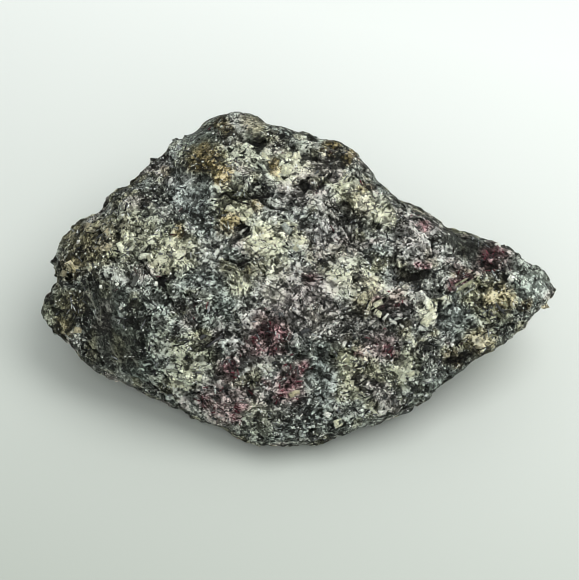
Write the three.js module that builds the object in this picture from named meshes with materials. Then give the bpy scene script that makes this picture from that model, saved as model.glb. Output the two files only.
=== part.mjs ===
// Kermesite specimen: one broken hand-size lump of grey rock with grains of quartz and red kermesite.
// Units are millimetres, +Z is up. The long axis lies along X and the display side looks towards -Y.
// The lump is described as it looks to a viewer in front of it and above it: across the view,
// up the view, and depth towards the viewer. A sphere is drawn over that shape and lands on the ground.
import * as THREE from "three";
import { mergeVertices } from "three/addons/utils/BufferGeometryUtils.js";

// Viewing direction that the outline below belongs to
const VIEW_ELEVATION_DEG = 50;
const VIEW_DISTANCE = 400;
const VIEW_MIDDLE_HEIGHT = 15.2;

// Sphere that is drawn over the lump
const SPHERE_DETAIL = 21;
const FRONT_BACK_PARTING = -0.25;
const OUTLINE_HALF_LENGTH = 35;
const OUTLINE_HALF_HEIGHT = 22.7;
const MERGE_TOLERANCE = 1e-5;

// How fast the front and the back swell away from the outline, and how sharp the broken edges are
const FRONT_SWELL = 17;
const BACK_SWELL = 21;
const EDGE_SHARPNESS = 7;
const THINNEST = 0.6;

// Small knobs of the outline stay near it: inwards of this share of the sphere the form is plainer
const KNOB_FADE = 0.16;
const KNOB_SPREAD_DEG = [-9, -4.5, 0, 4.5, 9];
const KNOB_SET_BACK = 0.3;
const RELIEF_FADE = 0.22;
const RELIEF_AT_OUTLINE = 0.2;

// Outline of the lump in the view, [across, up], clockwise from the left tip
const OUTLINE = [
  [-33.9, -3.4], [-33.4, -1.9], [-33.6, -1.2], [-32.4, -0.5], [-31.7, 0.8], [-31.3, 2.0], [-32.0, 2.7],
  [-32.2, 3.5], [-31.8, 4.9], [-31.0, 6.8], [-30.2, 7.6], [-29.3, 8.2], [-28.7, 9.3], [-28.0, 9.9],
  [-27.0, 9.9], [-26.0, 10.3], [-25.5, 10.8], [-25.1, 11.9], [-24.9, 12.7], [-24.3, 13.2], [-23.3, 13.9],
  [-21.7, 13.9], [-21.0, 14.7], [-20.3, 15.5], [-20.1, 16.2], [-19.1, 16.9], [-18.3, 17.7], [-16.8, 18.2],
  [-16.6, 19.2], [-16.1, 20.4], [-15.2, 20.5], [-13.4, 21.2], [-11.7, 22.0], [-10.2, 22.8], [-8.9, 23.6],
  [-7.9, 24.1], [-6.7, 24.2], [-5.7, 23.9], [-4.9, 23.2], [-3.9, 23.0], [-2.5, 22.0], [-1.4, 22.6],
  [-0.5, 21.9], [0.7, 21.4], [2.0, 21.6], [3.0, 20.9], [4.1, 20.3], [5.3, 20.5], [6.4, 20.1],
  [7.9, 19.3], [9.0, 18.6], [9.7, 17.7], [10.6, 16.6], [11.3, 15.7], [12.2, 14.3], [13.0, 13.8],
  [14.9, 12.2], [16.4, 11.8], [17.6, 11.1], [19.3, 10.3], [20.3, 9.5], [21.4, 8.5], [22.9, 8.1],
  [23.9, 8.2], [24.7, 7.8], [25.7, 6.9], [26.8, 6.6], [27.8, 6.4], [28.6, 5.9], [29.8, 5.8],
  [30.6, 5.4], [31.4, 4.5], [32.5, 3.6], [33.7, 3.4], [34.7, 2.7], [34.9, 1.9], [35.3, 1.1],
  [35.9, 0.5], [36.0, 0.0], [35.6, -0.8], [34.8, -1.5], [34.3, -2.3], [33.6, -2.8], [32.5, -3.6],
  [32.5, -4.3], [32.0, -5.1], [31.0, -5.5], [29.9, -6.5], [28.4, -7.6], [27.6, -8.2], [26.0, -8.9],
  [24.7, -9.7], [23.4, -10.7], [22.6, -11.5], [21.1, -12.2], [20.1, -13.2], [19.1, -14.1], [18.7, -14.9],
  [17.4, -15.7], [14.9, -16.9], [12.5, -17.7], [10.9, -18.2], [9.0, -18.9], [7.1, -19.7], [5.5, -20.3],
  [4.1, -20.9], [2.5, -21.1], [-2.6, -21.2], [-5.1, -20.9], [-7.0, -20.4], [-8.3, -19.2], [-10.1, -18.5],
  [-13.2, -17.0], [-16.1, -15.5], [-18.9, -14.5], [-20.2, -13.6], [-21.6, -13.2], [-22.4, -12.6],
  [-23.6, -12.0], [-24.8, -12.2], [-25.6, -11.9], [-26.6, -11.2], [-27.2, -10.3], [-28.3, -9.5],
  [-29.1, -8.8], [-29.1, -7.8], [-29.7, -7.3], [-30.6, -6.6], [-32.4, -5.7], [-33.4, -4.7],
];

// Depth of the outline around the view, [angle from the right-hand side in degrees, depth]
const RIM_DEPTH = [
  [-180, -4.4], [-155, -4.0], [-130, -2.9], [-105, -1.0], [-90, -0.8], [-70, -0.5], [-45, -0.5],
  [-20, -0.9], [0, -2.0], [30, -5.0], [60, -8.4], [85, -10.0], [110, -9.6], [135, -8.4],
  [160, -6.4], [180, -4.4],
];

// Broad broken faces, [depth at the middle, slope across, slope up]
const FRONT_FACES = [
  [8.5, 0.0, -0.22],
  [10.6, 0.0, 0.35],
  [21.0, 0.72, 0.2],
  [13.9, 0.315, -0.315],
  [14.0, -0.275, -0.415],
  [15.6, -0.375, 0.0],
  [14.0, -0.25, 0.42],
];
const BACK_FACES = [
  [-24.2, 0.0, 0.31],
  [-20.2, 0.0, -0.28],
  [-21.8, 0.0, -0.84],
  [-24.9, 0.0, -1.125],
  [-25.3, -0.46, -0.84],
  [-24.8, 0.55, -0.84],
  [-55.5, -1.55, 1.19],
  [-61.0, 1.55, 1.19],
];

// The right-hand wedge lies lower than the main face, beyond this line: [across, up] points and drop
const WEDGE_LINE = [[19.4, 11.0], [20.0, 4.0], [20.3, -1.4], [19.8, -6.0], [19.2, -12.0]];
const WEDGE_DROP = 2.6;
const WEDGE_CLIFF_WIDTH = 2.4;

// Lumps stand up and pits go in, [across, up, radius, height]
const LUMPS = [
  [-0.6, 16.9, 3.0, 0.9], [-2.9, 7.2, 3.0, 0.9], [1.4, 6.5, 1.5, 0.6], [-2.0, 2.7, 2.1, 0.8],
  [7.5, 2.7, 2.6, 0.8], [11.1, 0.0, 2.4, 0.7], [12.2, 11.1, 2.2, 0.8], [-9.5, 16.6, 2.4, 0.6],
  [-30.0, 6.0, 2.6, 0.9], [-31.0, -4.0, 2.2, 0.8], [-26.5, -10.2, 2.4, 0.8], [-22.9, 12.0, 2.3, 0.9],
  [-16.0, 19.2, 1.8, 0.6], [29.7, -3.0, 2.0, 0.9], [30.4, 1.6, 1.3, 0.9], [33.2, 1.4, 2.0, 0.6],
  [24.8, -7.2, 2.2, 0.7], [16.8, -9.0, 2.6, 0.8], [3.6, -10.4, 2.4, 0.6], [-14.6, -12.0, 2.4, 0.8],
  [-13.9, -5.2, 2.1, 0.7], [-17.6, 6.2, 2.4, 0.7], [-5.8, -6.5, 2.0, 0.6], [16.6, 4.6, 1.9, 0.7],
];
const PITS = [
  [24.1, 4.7, 2.4, 1.5], [28.1, 1.4, 1.6, 1.1], [2.4, 14.5, 1.5, 0.9], [6.1, 16.4, 1.6, 0.9],
  [-17.5, 0.9, 1.5, 0.8], [11.6, 9.2, 1.5, 0.8], [-6.0, 8.4, 1.5, 0.8], [-13.4, 13.4, 2.8, 0.7],
  [-29.4, 2.0, 1.5, 0.7], [2.4, 2.4, 2.0, 0.7], [-9.2, -9.6, 1.8, 0.7], [13.6, -6.8, 1.9, 0.8],
  [7.6, -8.0, 1.8, 0.7], [-20.2, -6.4, 2.0, 0.6], [22.6, -3.6, 1.8, 0.6],
];

// Ridges and cracks run along a line of [across, up] points
const RIDGES = [
  { line: [[21.2, -1.0], [25.3, 2.1]], width: 1.4, height: 1.2 },
  { line: [[28.4, -2.0], [30.6, -4.6]], width: 1.2, height: 0.6 },
  { line: [[-19.4, 4.2], [-19.0, -2.6], [-20.0, -8.4]], width: 1.5, height: 0.8 },
  { line: [[-4.4, 8.9], [-1.6, 10.8]], width: 1.2, height: 0.6 },
];
const CRACKS = [
  { line: [[-7.4, 18.7], [-3.0, 19.2], [1.4, 19.2]], width: 1.5, height: 1.0 },
  { line: [[-8.7, 12.8], [-6.7, 12.5], [-3.7, 13.2], [-2.4, 13.1], [0.1, 11.2]], width: 1.4, height: 0.9 },
  { line: [[14.2, 2.1], [19.0, 1.8]], width: 1.4, height: 0.9 },
  { line: [[-18.2, 0.0], [-15.1, -3.8]], width: 1.3, height: 0.7 },
  { line: [[-27.0, 2.0], [-26.0, -2.8]], width: 1.3, height: 0.6 },
  { line: [[-24.0, -7.4], [-22.2, -10.2]], width: 1.3, height: 0.6 },
  { line: [[9.4, 14.6], [13.6, 8.2]], width: 1.4, height: 0.7 },
  { line: [[2.2, -5.0], [9.8, -6.2], [14.6, -4.4]], width: 1.4, height: 0.7 },
];

// Angular broken relief, [size of a chip, height, how narrow the steps between chips are, seed]
const FRONT_CHIPS = [[5.4, 0.8, 22, 11], [2.6, 0.65, 13, 23]];
const BACK_CHIPS = [[8.5, 1.9, 26, 37], [3.6, 0.95, 14, 41]];

// Rock colour between its pale grains and its dark ones
const STONE_COLOUR = 0x77786f;
const STONE_ROUGHNESS = 0.72;
const STONE_METALNESS = 0.0;

const elevation = THREE.MathUtils.degToRad(VIEW_ELEVATION_DEG);
const acrossAxis = new THREE.Vector3(1, 0, 0);
const upAxis = new THREE.Vector3(0, Math.sin(elevation), Math.cos(elevation));
const depthAxis = new THREE.Vector3(0, -Math.cos(elevation), Math.sin(elevation));

// A repeatable random number from 0 to 1 for a cell of space
function chance(i, j, k, seed) {
  let mixed = Math.imul(i, 374761393) ^ Math.imul(j, 668265263) ^ Math.imul(k, 2147483647);
  mixed = Math.imul(mixed ^ Math.imul(seed, 1274126177), 1103515245);
  mixed ^= mixed >>> 13;
  mixed = Math.imul(mixed, 1540483477);
  mixed ^= mixed >>> 15;
  return (mixed >>> 0) / 4294967296;
}

// Height of broken relief at a point of space: each flat chip has its own level and its own tilt
function chipHeight(point, size, sharpness, seed) {
  const [x, y, z] = [point.x / size, point.y / size, point.z / size];
  const [column, row, layer] = [Math.floor(x), Math.floor(y), Math.floor(z)];
  let totalWeight = 0;
  let totalHeight = 0;
  for (let i = column - 1; i <= column + 1; i += 1) {
    for (let j = row - 1; j <= row + 1; j += 1) {
      for (let k = layer - 1; k <= layer + 1; k += 1) {
        const offsetX = x - i - chance(i, j, k, seed + 1);
        const offsetY = y - j - chance(i, j, k, seed + 2);
        const offsetZ = z - k - chance(i, j, k, seed + 3);
        const level = chance(i, j, k, seed + 4) - 0.5;
        const tiltX = 2 * chance(i, j, k, seed + 5) - 1;
        const tiltY = 2 * chance(i, j, k, seed + 6) - 1;
        const tiltZ = 2 * chance(i, j, k, seed + 7) - 1;
        const height = level + tiltX * offsetX + tiltY * offsetY + tiltZ * offsetZ;
        const weight = Math.exp(-sharpness * Math.hypot(offsetX, offsetY, offsetZ));
        totalWeight += weight;
        totalHeight += weight * height;
      }
    }
  }
  return totalHeight / totalWeight;
}

function chipsAt(point, chips) {
  let sum = 0;
  for (const [size, height, sharpness, seed] of chips) {
    sum += height * chipHeight(point, size, sharpness, seed);
  }
  return sum;
}

// 1 at the middle of a round bump, 0 at its edge and beyond
function bump(distance, radius) {
  return THREE.MathUtils.smoothstep(radius - distance, 0, radius);
}

function distanceToLine(across, up, line) {
  let nearest = Infinity;
  for (let i = 1; i < line.length; i += 1) {
    const [startAcross, startUp] = line[i - 1];
    const [endAcross, endUp] = line[i];
    const runAcross = endAcross - startAcross;
    const runUp = endUp - startUp;
    const along = ((across - startAcross) * runAcross + (up - startUp) * runUp) / (runAcross ** 2 + runUp ** 2);
    const held = THREE.MathUtils.clamp(along, 0, 1);
    const gap = Math.hypot(across - startAcross - held * runAcross, up - startUp - held * runUp);
    nearest = Math.min(nearest, gap);
  }
  return nearest;
}

// How far a point lies beyond the wedge line, to the right of it
function beyondWedgeLine(across, up) {
  for (let i = 1; i < WEDGE_LINE.length; i += 1) {
    const [upperAcross, upperUp] = WEDGE_LINE[i - 1];
    const [lowerAcross, lowerUp] = WEDGE_LINE[i];
    if (up >= lowerUp || i === WEDGE_LINE.length - 1) {
      const share = THREE.MathUtils.clamp((upperUp - up) / (upperUp - lowerUp), 0, 1);
      return across - THREE.MathUtils.lerp(upperAcross, lowerAcross, share);
    }
  }
  return 0;
}

// Lumps, pits, ridges and cracks of the display side
function frontRelief(across, up) {
  let height = 0;
  for (const [x, y, radius, rise] of LUMPS) {
    height += rise * bump(Math.hypot(across - x, up - y), radius);
  }
  for (const [x, y, radius, depth] of PITS) {
    height -= depth * bump(Math.hypot(across - x, up - y), radius);
  }
  for (const ridge of RIDGES) {
    height += ridge.height * bump(distanceToLine(across, up, ridge.line), ridge.width);
  }
  for (const crack of CRACKS) {
    height -= crack.height * bump(distanceToLine(across, up, crack.line), crack.width);
  }
  return height;
}

// Distance from the middle of the view to the outline in one direction
function outlineRadius(directionAcross, directionUp) {
  for (let i = 0; i < OUTLINE.length; i += 1) {
    const [startAcross, startUp] = OUTLINE[i];
    const [endAcross, endUp] = OUTLINE[(i + 1) % OUTLINE.length];
    const startSide = startAcross * directionUp - startUp * directionAcross;
    const endSide = endAcross * directionUp - endUp * directionAcross;
    const facing = (startAcross + endAcross) * directionAcross + (startUp + endUp) * directionUp;
    if (startSide * endSide <= 0 && facing > 0) {
      const share = startSide / (startSide - endSide);
      const across = THREE.MathUtils.lerp(startAcross, endAcross, share);
      const up = THREE.MathUtils.lerp(startUp, endUp, share);
      return Math.hypot(across, up);
    }
  }
  return OUTLINE_HALF_HEIGHT;
}

// The same distance with the small knobs of the outline evened out
function plainRadius(angle) {
  const total = KNOB_SPREAD_DEG.reduce((sum, spread) => {
    const turned = angle + THREE.MathUtils.degToRad(spread);
    return sum + outlineRadius(Math.cos(turned), Math.sin(turned));
  }, 0);
  return total / KNOB_SPREAD_DEG.length - KNOB_SET_BACK;
}

function rimDepth(angleDeg) {
  for (let i = 1; i < RIM_DEPTH.length; i += 1) {
    const [startAngle, startDepth] = RIM_DEPTH[i - 1];
    const [endAngle, endDepth] = RIM_DEPTH[i];
    if (angleDeg <= endAngle) {
      return THREE.MathUtils.lerp(startDepth, endDepth, (angleDeg - startAngle) / (endAngle - startAngle));
    }
  }
  return RIM_DEPTH[0][1];
}

// Smaller of two positive lengths, with a slightly worn edge where they cross
function wornMinimum(lengths) {
  const sum = lengths.reduce((total, length) => total + length ** -EDGE_SHARPNESS, 0);
  return sum ** (-1 / EDGE_SHARPNESS);
}

function faceDepths(faces, across, up) {
  return faces.map(([middle, slopeAcross, slopeUp]) => middle + slopeAcross * across + slopeUp * up);
}

// Depth of the display side over the outline, before its relief
function frontSwell(across, up, rim, rise) {
  const lengths = faceDepths(FRONT_FACES, across, up).map((depth) => Math.max(depth - rim, THINNEST));
  return wornMinimum([rise * FRONT_SWELL, ...lengths]);
}

function backSwell(across, up, rim, rise) {
  const lengths = faceDepths(BACK_FACES, across, up).map((depth) => Math.max(rim - depth, THINNEST));
  return wornMinimum([rise * BACK_SWELL, ...lengths]);
}

// Place a point of the view at its depth, nearer points drawn in towards the viewer's eye
function placeInSpace(across, up, depth) {
  const shrink = 1 - depth / VIEW_DISTANCE;
  return new THREE.Vector3(0, 0, VIEW_MIDDLE_HEIGHT)
    .addScaledVector(acrossAxis, across * shrink)
    .addScaledVector(upAxis, up * shrink)
    .addScaledVector(depthAxis, depth);
}

// How far around from the middle of its side to the outline a point of the sphere lies, 0 to 1
function shareOfSide(sphereZ) {
  const isFront = sphereZ >= FRONT_BACK_PARTING;
  return isFront
    ? Math.sqrt((1 - sphereZ) / (1 - FRONT_BACK_PARTING))
    : Math.sqrt((1 + sphereZ) / (1 + FRONT_BACK_PARTING));
}

// One point of the sphere moved onto the lump, before the chips are broken out of it
function stonePoint(sphereX, sphereY, sphereZ) {
  const share = shareOfSide(sphereZ);
  const reach = Math.sin((share * Math.PI) / 2);
  const rise = Math.cos((share * Math.PI) / 2);
  const angle = Math.atan2(OUTLINE_HALF_HEIGHT * sphereY, OUTLINE_HALF_LENGTH * sphereX);
  const exact = outlineRadius(Math.cos(angle), Math.sin(angle));
  const inside = THREE.MathUtils.smoothstep(1 - share, 0, KNOB_FADE);
  const radius = reach * THREE.MathUtils.lerp(exact, Math.min(exact, plainRadius(angle)), inside);
  const across = radius * Math.cos(angle);
  const up = radius * Math.sin(angle);
  const rim = rimDepth(THREE.MathUtils.radToDeg(angle));
  if (sphereZ < FRONT_BACK_PARTING) {
    return placeInSpace(across, up, rim - backSwell(across, up, rim, rise));
  }
  const shown = THREE.MathUtils.smoothstep(1 - share, 0, RELIEF_FADE);
  const wedge = THREE.MathUtils.smoothstep(beyondWedgeLine(across, up), 0, WEDGE_CLIFF_WIDTH);
  const swell = frontSwell(across, up, rim, rise);
  const drop = Math.min(WEDGE_DROP, swell / 2) * wedge;
  return placeInSpace(across, up, rim + swell + shown * (frontRelief(across, up) - drop));
}

// Push every point in or out by the broken relief and cut the lowest part flat at the ground
function breakSurface(stone, sphereDepths) {
  stone.computeVertexNormals();
  const positions = stone.getAttribute("position");
  const normals = stone.getAttribute("normal");
  for (let i = 0; i < positions.count; i += 1) {
    const point = new THREE.Vector3().fromBufferAttribute(positions, i);
    const normal = new THREE.Vector3().fromBufferAttribute(normals, i);
    const chips = sphereDepths[i] >= FRONT_BACK_PARTING ? FRONT_CHIPS : BACK_CHIPS;
    const inside = THREE.MathUtils.smoothstep(1 - shareOfSide(sphereDepths[i]), 0, RELIEF_FADE);
    const strength = THREE.MathUtils.lerp(RELIEF_AT_OUTLINE, 1, inside);
    point.addScaledVector(normal, strength * chipsAt(point, chips));
    positions.setXYZ(i, point.x, point.y, Math.max(point.z, 0));
  }
}

function buildStone() {
  const geometry = new THREE.IcosahedronGeometry(1, SPHERE_DETAIL);
  geometry.deleteAttribute("normal");
  geometry.deleteAttribute("uv");
  const stone = mergeVertices(geometry, MERGE_TOLERANCE);
  const positions = stone.getAttribute("position");
  const sphereDepths = [];
  for (let i = 0; i < positions.count; i += 1) {
    sphereDepths.push(positions.getZ(i));
    const point = stonePoint(positions.getX(i), positions.getY(i), positions.getZ(i));
    positions.setXYZ(i, point.x, point.y, point.z);
  }
  breakSurface(stone, sphereDepths);
  stone.computeBoundingBox();
  const middle = stone.boundingBox.getCenter(new THREE.Vector3());
  stone.translate(-middle.x, -middle.y, -stone.boundingBox.min.z);
  stone.computeVertexNormals();
  return stone;
}

function stoneMaterial() {
  return new THREE.MeshStandardMaterial({
    color: STONE_COLOUR,
    roughness: STONE_ROUGHNESS,
    metalness: STONE_METALNESS,
    flatShading: true,
  });
}

const kermesite = new THREE.Group();
kermesite.name = "kermesite";
const stone = new THREE.Mesh(buildStone(), stoneMaterial());
stone.name = "stone";
kermesite.add(stone);

export default kermesite;
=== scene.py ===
import itertools
import math
from collections import namedtuple

import bpy
import numpy as np
from mathutils import Matrix, Vector


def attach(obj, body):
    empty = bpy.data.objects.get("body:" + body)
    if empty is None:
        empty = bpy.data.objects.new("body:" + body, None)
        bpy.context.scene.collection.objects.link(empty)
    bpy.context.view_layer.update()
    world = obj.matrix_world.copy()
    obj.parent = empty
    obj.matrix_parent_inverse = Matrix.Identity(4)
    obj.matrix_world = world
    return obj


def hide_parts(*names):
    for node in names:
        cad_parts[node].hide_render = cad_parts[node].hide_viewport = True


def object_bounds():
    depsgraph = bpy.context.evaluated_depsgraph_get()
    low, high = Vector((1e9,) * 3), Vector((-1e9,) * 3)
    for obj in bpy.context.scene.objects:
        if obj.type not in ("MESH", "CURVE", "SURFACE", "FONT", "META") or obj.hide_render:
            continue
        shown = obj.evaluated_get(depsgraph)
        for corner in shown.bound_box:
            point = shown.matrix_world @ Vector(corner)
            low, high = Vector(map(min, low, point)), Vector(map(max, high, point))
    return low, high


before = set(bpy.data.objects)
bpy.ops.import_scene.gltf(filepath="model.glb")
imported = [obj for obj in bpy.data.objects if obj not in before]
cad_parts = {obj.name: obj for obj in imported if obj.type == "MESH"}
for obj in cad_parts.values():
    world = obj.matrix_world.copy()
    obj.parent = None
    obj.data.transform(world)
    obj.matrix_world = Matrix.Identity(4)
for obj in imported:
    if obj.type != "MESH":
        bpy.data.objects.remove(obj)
CAD_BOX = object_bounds()

# Lengths are written in millimetres and turned to metres when a mesh is made
MM = 0.001

# The viewing direction that the stone is described in, and the point of the stone at the view's middle
VIEW_ELEVATION = math.radians(50)
VIEW_DISTANCE = 400.0
VIEW_MIDDLE = np.array([-1.18, -6.07, 15.2])
FRAME_HEIGHT = 78.4
SENSOR_SIZE = 36.0
# Width of the picture's blur in pixels
PIXEL_BLUR = 0.6

Zone = namedtuple("Zone", "patches hidden hue hue_share tone")
Surface = namedtuple("Surface", "corners triangles gap edge clear strengths")
Grains = namedtuple("Grains", "first second facet")

# The view's directions in the shared frame: across, up, and out of the picture
ACROSS_AXIS = np.array([1.0, 0.0, 0.0])
UP_AXIS = np.array([0.0, math.sin(VIEW_ELEVATION), math.cos(VIEW_ELEVATION)])
DEPTH_AXIS = np.array([0.0, -math.cos(VIEW_ELEVATION), math.sin(VIEW_ELEVATION)])

# Patches of the display side, (across, up, radius, strength)
CREAM_PATCHES = [
    (-0.9, 16.9, 2.7, 0.8), (-2.9, 6.9, 2.6, 0.8), (-2.0, 2.4, 2.4, 0.6), (-2.0, -0.3, 1.6, 0.6),
    (7.1, 2.7, 2.7, 0.7), (10.9, 0.0, 2.4, 0.6), (10.2, 11.8, 2.4, 0.5), (12.6, 10.1, 1.4, 0.8),
    (-21.3, 6.1, 1.9, 0.5), (-14.5, 5.4, 2.7, 0.5), (-13.9, -11.5, 2.2, 0.6), (1.4, 6.5, 1.4, 0.7),
    (-6.7, 18.9, 1.6, 0.4), (1.4, 18.9, 1.4, 0.5), (3.9, 16.9, 1.1, 0.4), (7.5, 13.5, 1.4, 0.6),
    (-5.3, 10.8, 1.4, 0.4), (29.1, -0.7, 1.6, 0.4), (17.6, -1.4, 1.4, 0.4), (-6.7, 0.7, 1.1, 0.4),
    (9.5, 11.6, 1.2, 0.9), (10.9, 10.7, 1.1, 1.0), (12.4, 9.6, 0.8, 0.9), (8.2, 13.1, 0.8, 0.8),
    (0.7, 17.6, 1.4, 1.0), (-0.3, 15.7, 1.4, 1.0), (-2.9, 18.1, 0.8, 0.8), (-9.5, 13.9, 0.8, 0.7),
    (-7.2, 10.5, 1.1, 1.0), (18.6, -3.5, 1.2, 1.0), (19.0, -1.8, 0.8, 0.9), (11.3, 0.5, 1.6, 0.8),
    (15.7, -10.7, 1.2, 0.9), (7.6, -9.2, 0.8, 0.9), (-13.4, -11.2, 1.4, 0.9), (-3.7, -10.4, 1.1, 0.6),
    (26.0, -7.2, 1.2, 0.8), (-2.2, 3.1, 1.1, 0.9), (-3.4, 6.8, 1.6, 1.0), (-14.8, 5.8, 1.5, 0.9),
    (-29.3, 3.0, 0.8, 0.9), (6.7, -18.0, 0.5, 0.8), (-26.6, -8.1, 0.8, 0.5), (8.2, 2.7, 1.4, 0.7),
    (-5.8, 22.6, 2.4, 0.5), (33.4, 0.8, 2.2, 0.2), (-4.5, 16.5, 3.0, 0.3), (3.2, 20.0, 2.2, 0.35),
    (-6.0, 19.5, 2.2, 0.3),
    (6.1, 0.7, 1.4, 0.6), (-17.5, 4.6, 0.9, 0.6), (-11.4, -1.4, 1.2, 0.4), (-17.5, -7.4, 1.4, 0.5),
]
OCHRE_PATCHES = [
    (-11.4, 17.8, 2.2, 0.9), (-9.1, 15.9, 1.5, 1.0), (-12.8, 18.9, 1.1, 0.5), (-8.3, 9.2, 1.8, 0.85),
    (-14.8, 7.8, 0.9, 0.8), (-4.7, 11.5, 1.1, 0.7), (-1.9, 16.7, 1.0, 0.9), (5.8, 19.6, 1.3, 1.0),
    (-9.0, 22.3, 1.3, 0.6), (-4.6, 22.6, 1.7, 0.45), (10.5, 14.0, 0.8, 0.7),
    (8.2, 18.0, 1.1, 0.9), (28.4, -0.9, 2.2, 0.6), (32.0, -2.3, 0.9, 0.7), (25.7, -7.0, 1.9, 0.5),
    (22.5, -9.2, 1.2, 0.6), (-29.4, 3.0, 1.6, 0.6), (-30.7, -5.1, 1.5, 0.6), (-27.6, 6.1, 3.2, 0.4),
    (-29.0, -2.0, 1.9, 0.4), (-16.8, 16.2, 0.8, 0.4), (10.2, -1.4, 1.4, 0.3), (-5.6, 2.7, 0.8, 0.3),
    (-25.6, 8.1, 1.6, 0.3), (-2.9, 7.8, 1.1, 0.2), (11.3, 0.5, 1.6, 0.25), (9.5, 11.6, 1.4, 0.25),
]
COOL_PATCHES = [
    (-13.4, 13.5, 3.2, 0.9), (4.4, -11.9, 2.7, 0.8), (22.6, -4.3, 2.7, 0.8), (1.4, -7.8, 2.4, 0.5),
    (-11.4, 11.5, 1.6, 0.5), (-20.2, 4.1, 1.4, 0.3), (-6.0, 23.0, 2.4, 0.6), (25.7, -8.1, 1.6, 0.4),
    (1.4, -17.6, 2.7, 0.4), (13.6, 8.1, 1.4, 0.3), (33.9, 0.7, 1.9, 0.5), (-17.0, 19.5, 2.4, 0.7),
    (-14.0, 21.0, 1.8, 0.7), (19.6, 6.0, 0.6, 0.8),
]
RED_PATCHES = [
    (-2.4, -6.1, 2.3, 1.0), (-0.2, -12.7, 2.2, 0.9), (-8.6, -10.5, 1.8, 0.7), (-9.1, -15.7, 2.7, 0.6),
    (2.9, 1.6, 1.2, 0.6), (12.9, -7.6, 1.9, 0.7), (14.7, -1.1, 1.4, 0.5), (18.2, 3.4, 0.9, 0.8),
    (18.2, 8.8, 0.8, 0.6), (16.6, 10.3, 0.5, 0.6), (3.9, 13.0, 0.9, 0.3), (-13.7, -3.8, 1.1, 0.3),
    (27.6, 4.3, 1.8, 0.7), (23.7, 2.0, 1.2, 0.7), (21.9, 0.7, 0.8, 0.8), (-5.3, -8.1, 1.6, 0.6),
    (-3.7, -4.3, 1.4, 0.6), (1.4, -10.3, 1.2, 0.6), (7.5, 6.8, 0.8, 0.2), (-6.7, -14.2, 1.4, 0.5),
    (10.2, -8.1, 1.1, 0.4), (25.7, 3.0, 1.0, 0.6),
]
MAROON_PATCHES = [
    (-1.6, -5.8, 1.2, 1.0), (-3.0, -5.8, 0.9, 0.9), (-4.5, -6.6, 0.8, 0.8), (-4.0, -8.1, 0.7, 0.7),
    (-2.4, -8.2, 0.8, 0.8), (-0.7, -8.6, 0.7, 0.8), (-8.3, -10.4, 1.0, 0.8), (-7.9, -11.4, 0.7, 0.7),
    (1.7, -10.5, 0.8, 0.9), (0.9, -11.9, 0.8, 0.9), (0.1, -12.6, 0.8, 1.0), (-0.7, -13.6, 0.8, 0.9),
    (-1.6, -14.6, 0.6, 0.7), (-3.3, -13.0, 0.7, 0.6), (-11.6, -15.1, 0.9, 0.7), (-6.7, -15.9, 0.9, 0.7),
    (-7.6, -17.2, 0.8, 0.6), (18.0, 3.1, 0.8, 1.0), (18.0, 8.6, 0.6, 0.9), (13.2, -8.1, 1.0, 1.0),
    (9.5, -8.8, 0.6, 0.6), (22.0, 0.4, 0.6, 0.9), (22.8, 0.9, 0.6, 0.9), (23.6, 1.5, 0.6, 0.9),
    (24.4, 1.9, 0.6, 0.9), (26.8, 4.6, 1.0, 0.9), (28.0, 5.1, 0.9, 0.8), (26.3, 3.5, 0.7, 0.7),
    (2.9, 2.0, 0.6, 0.7), (12.2, -1.6, 0.8, 0.8),
]
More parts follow.
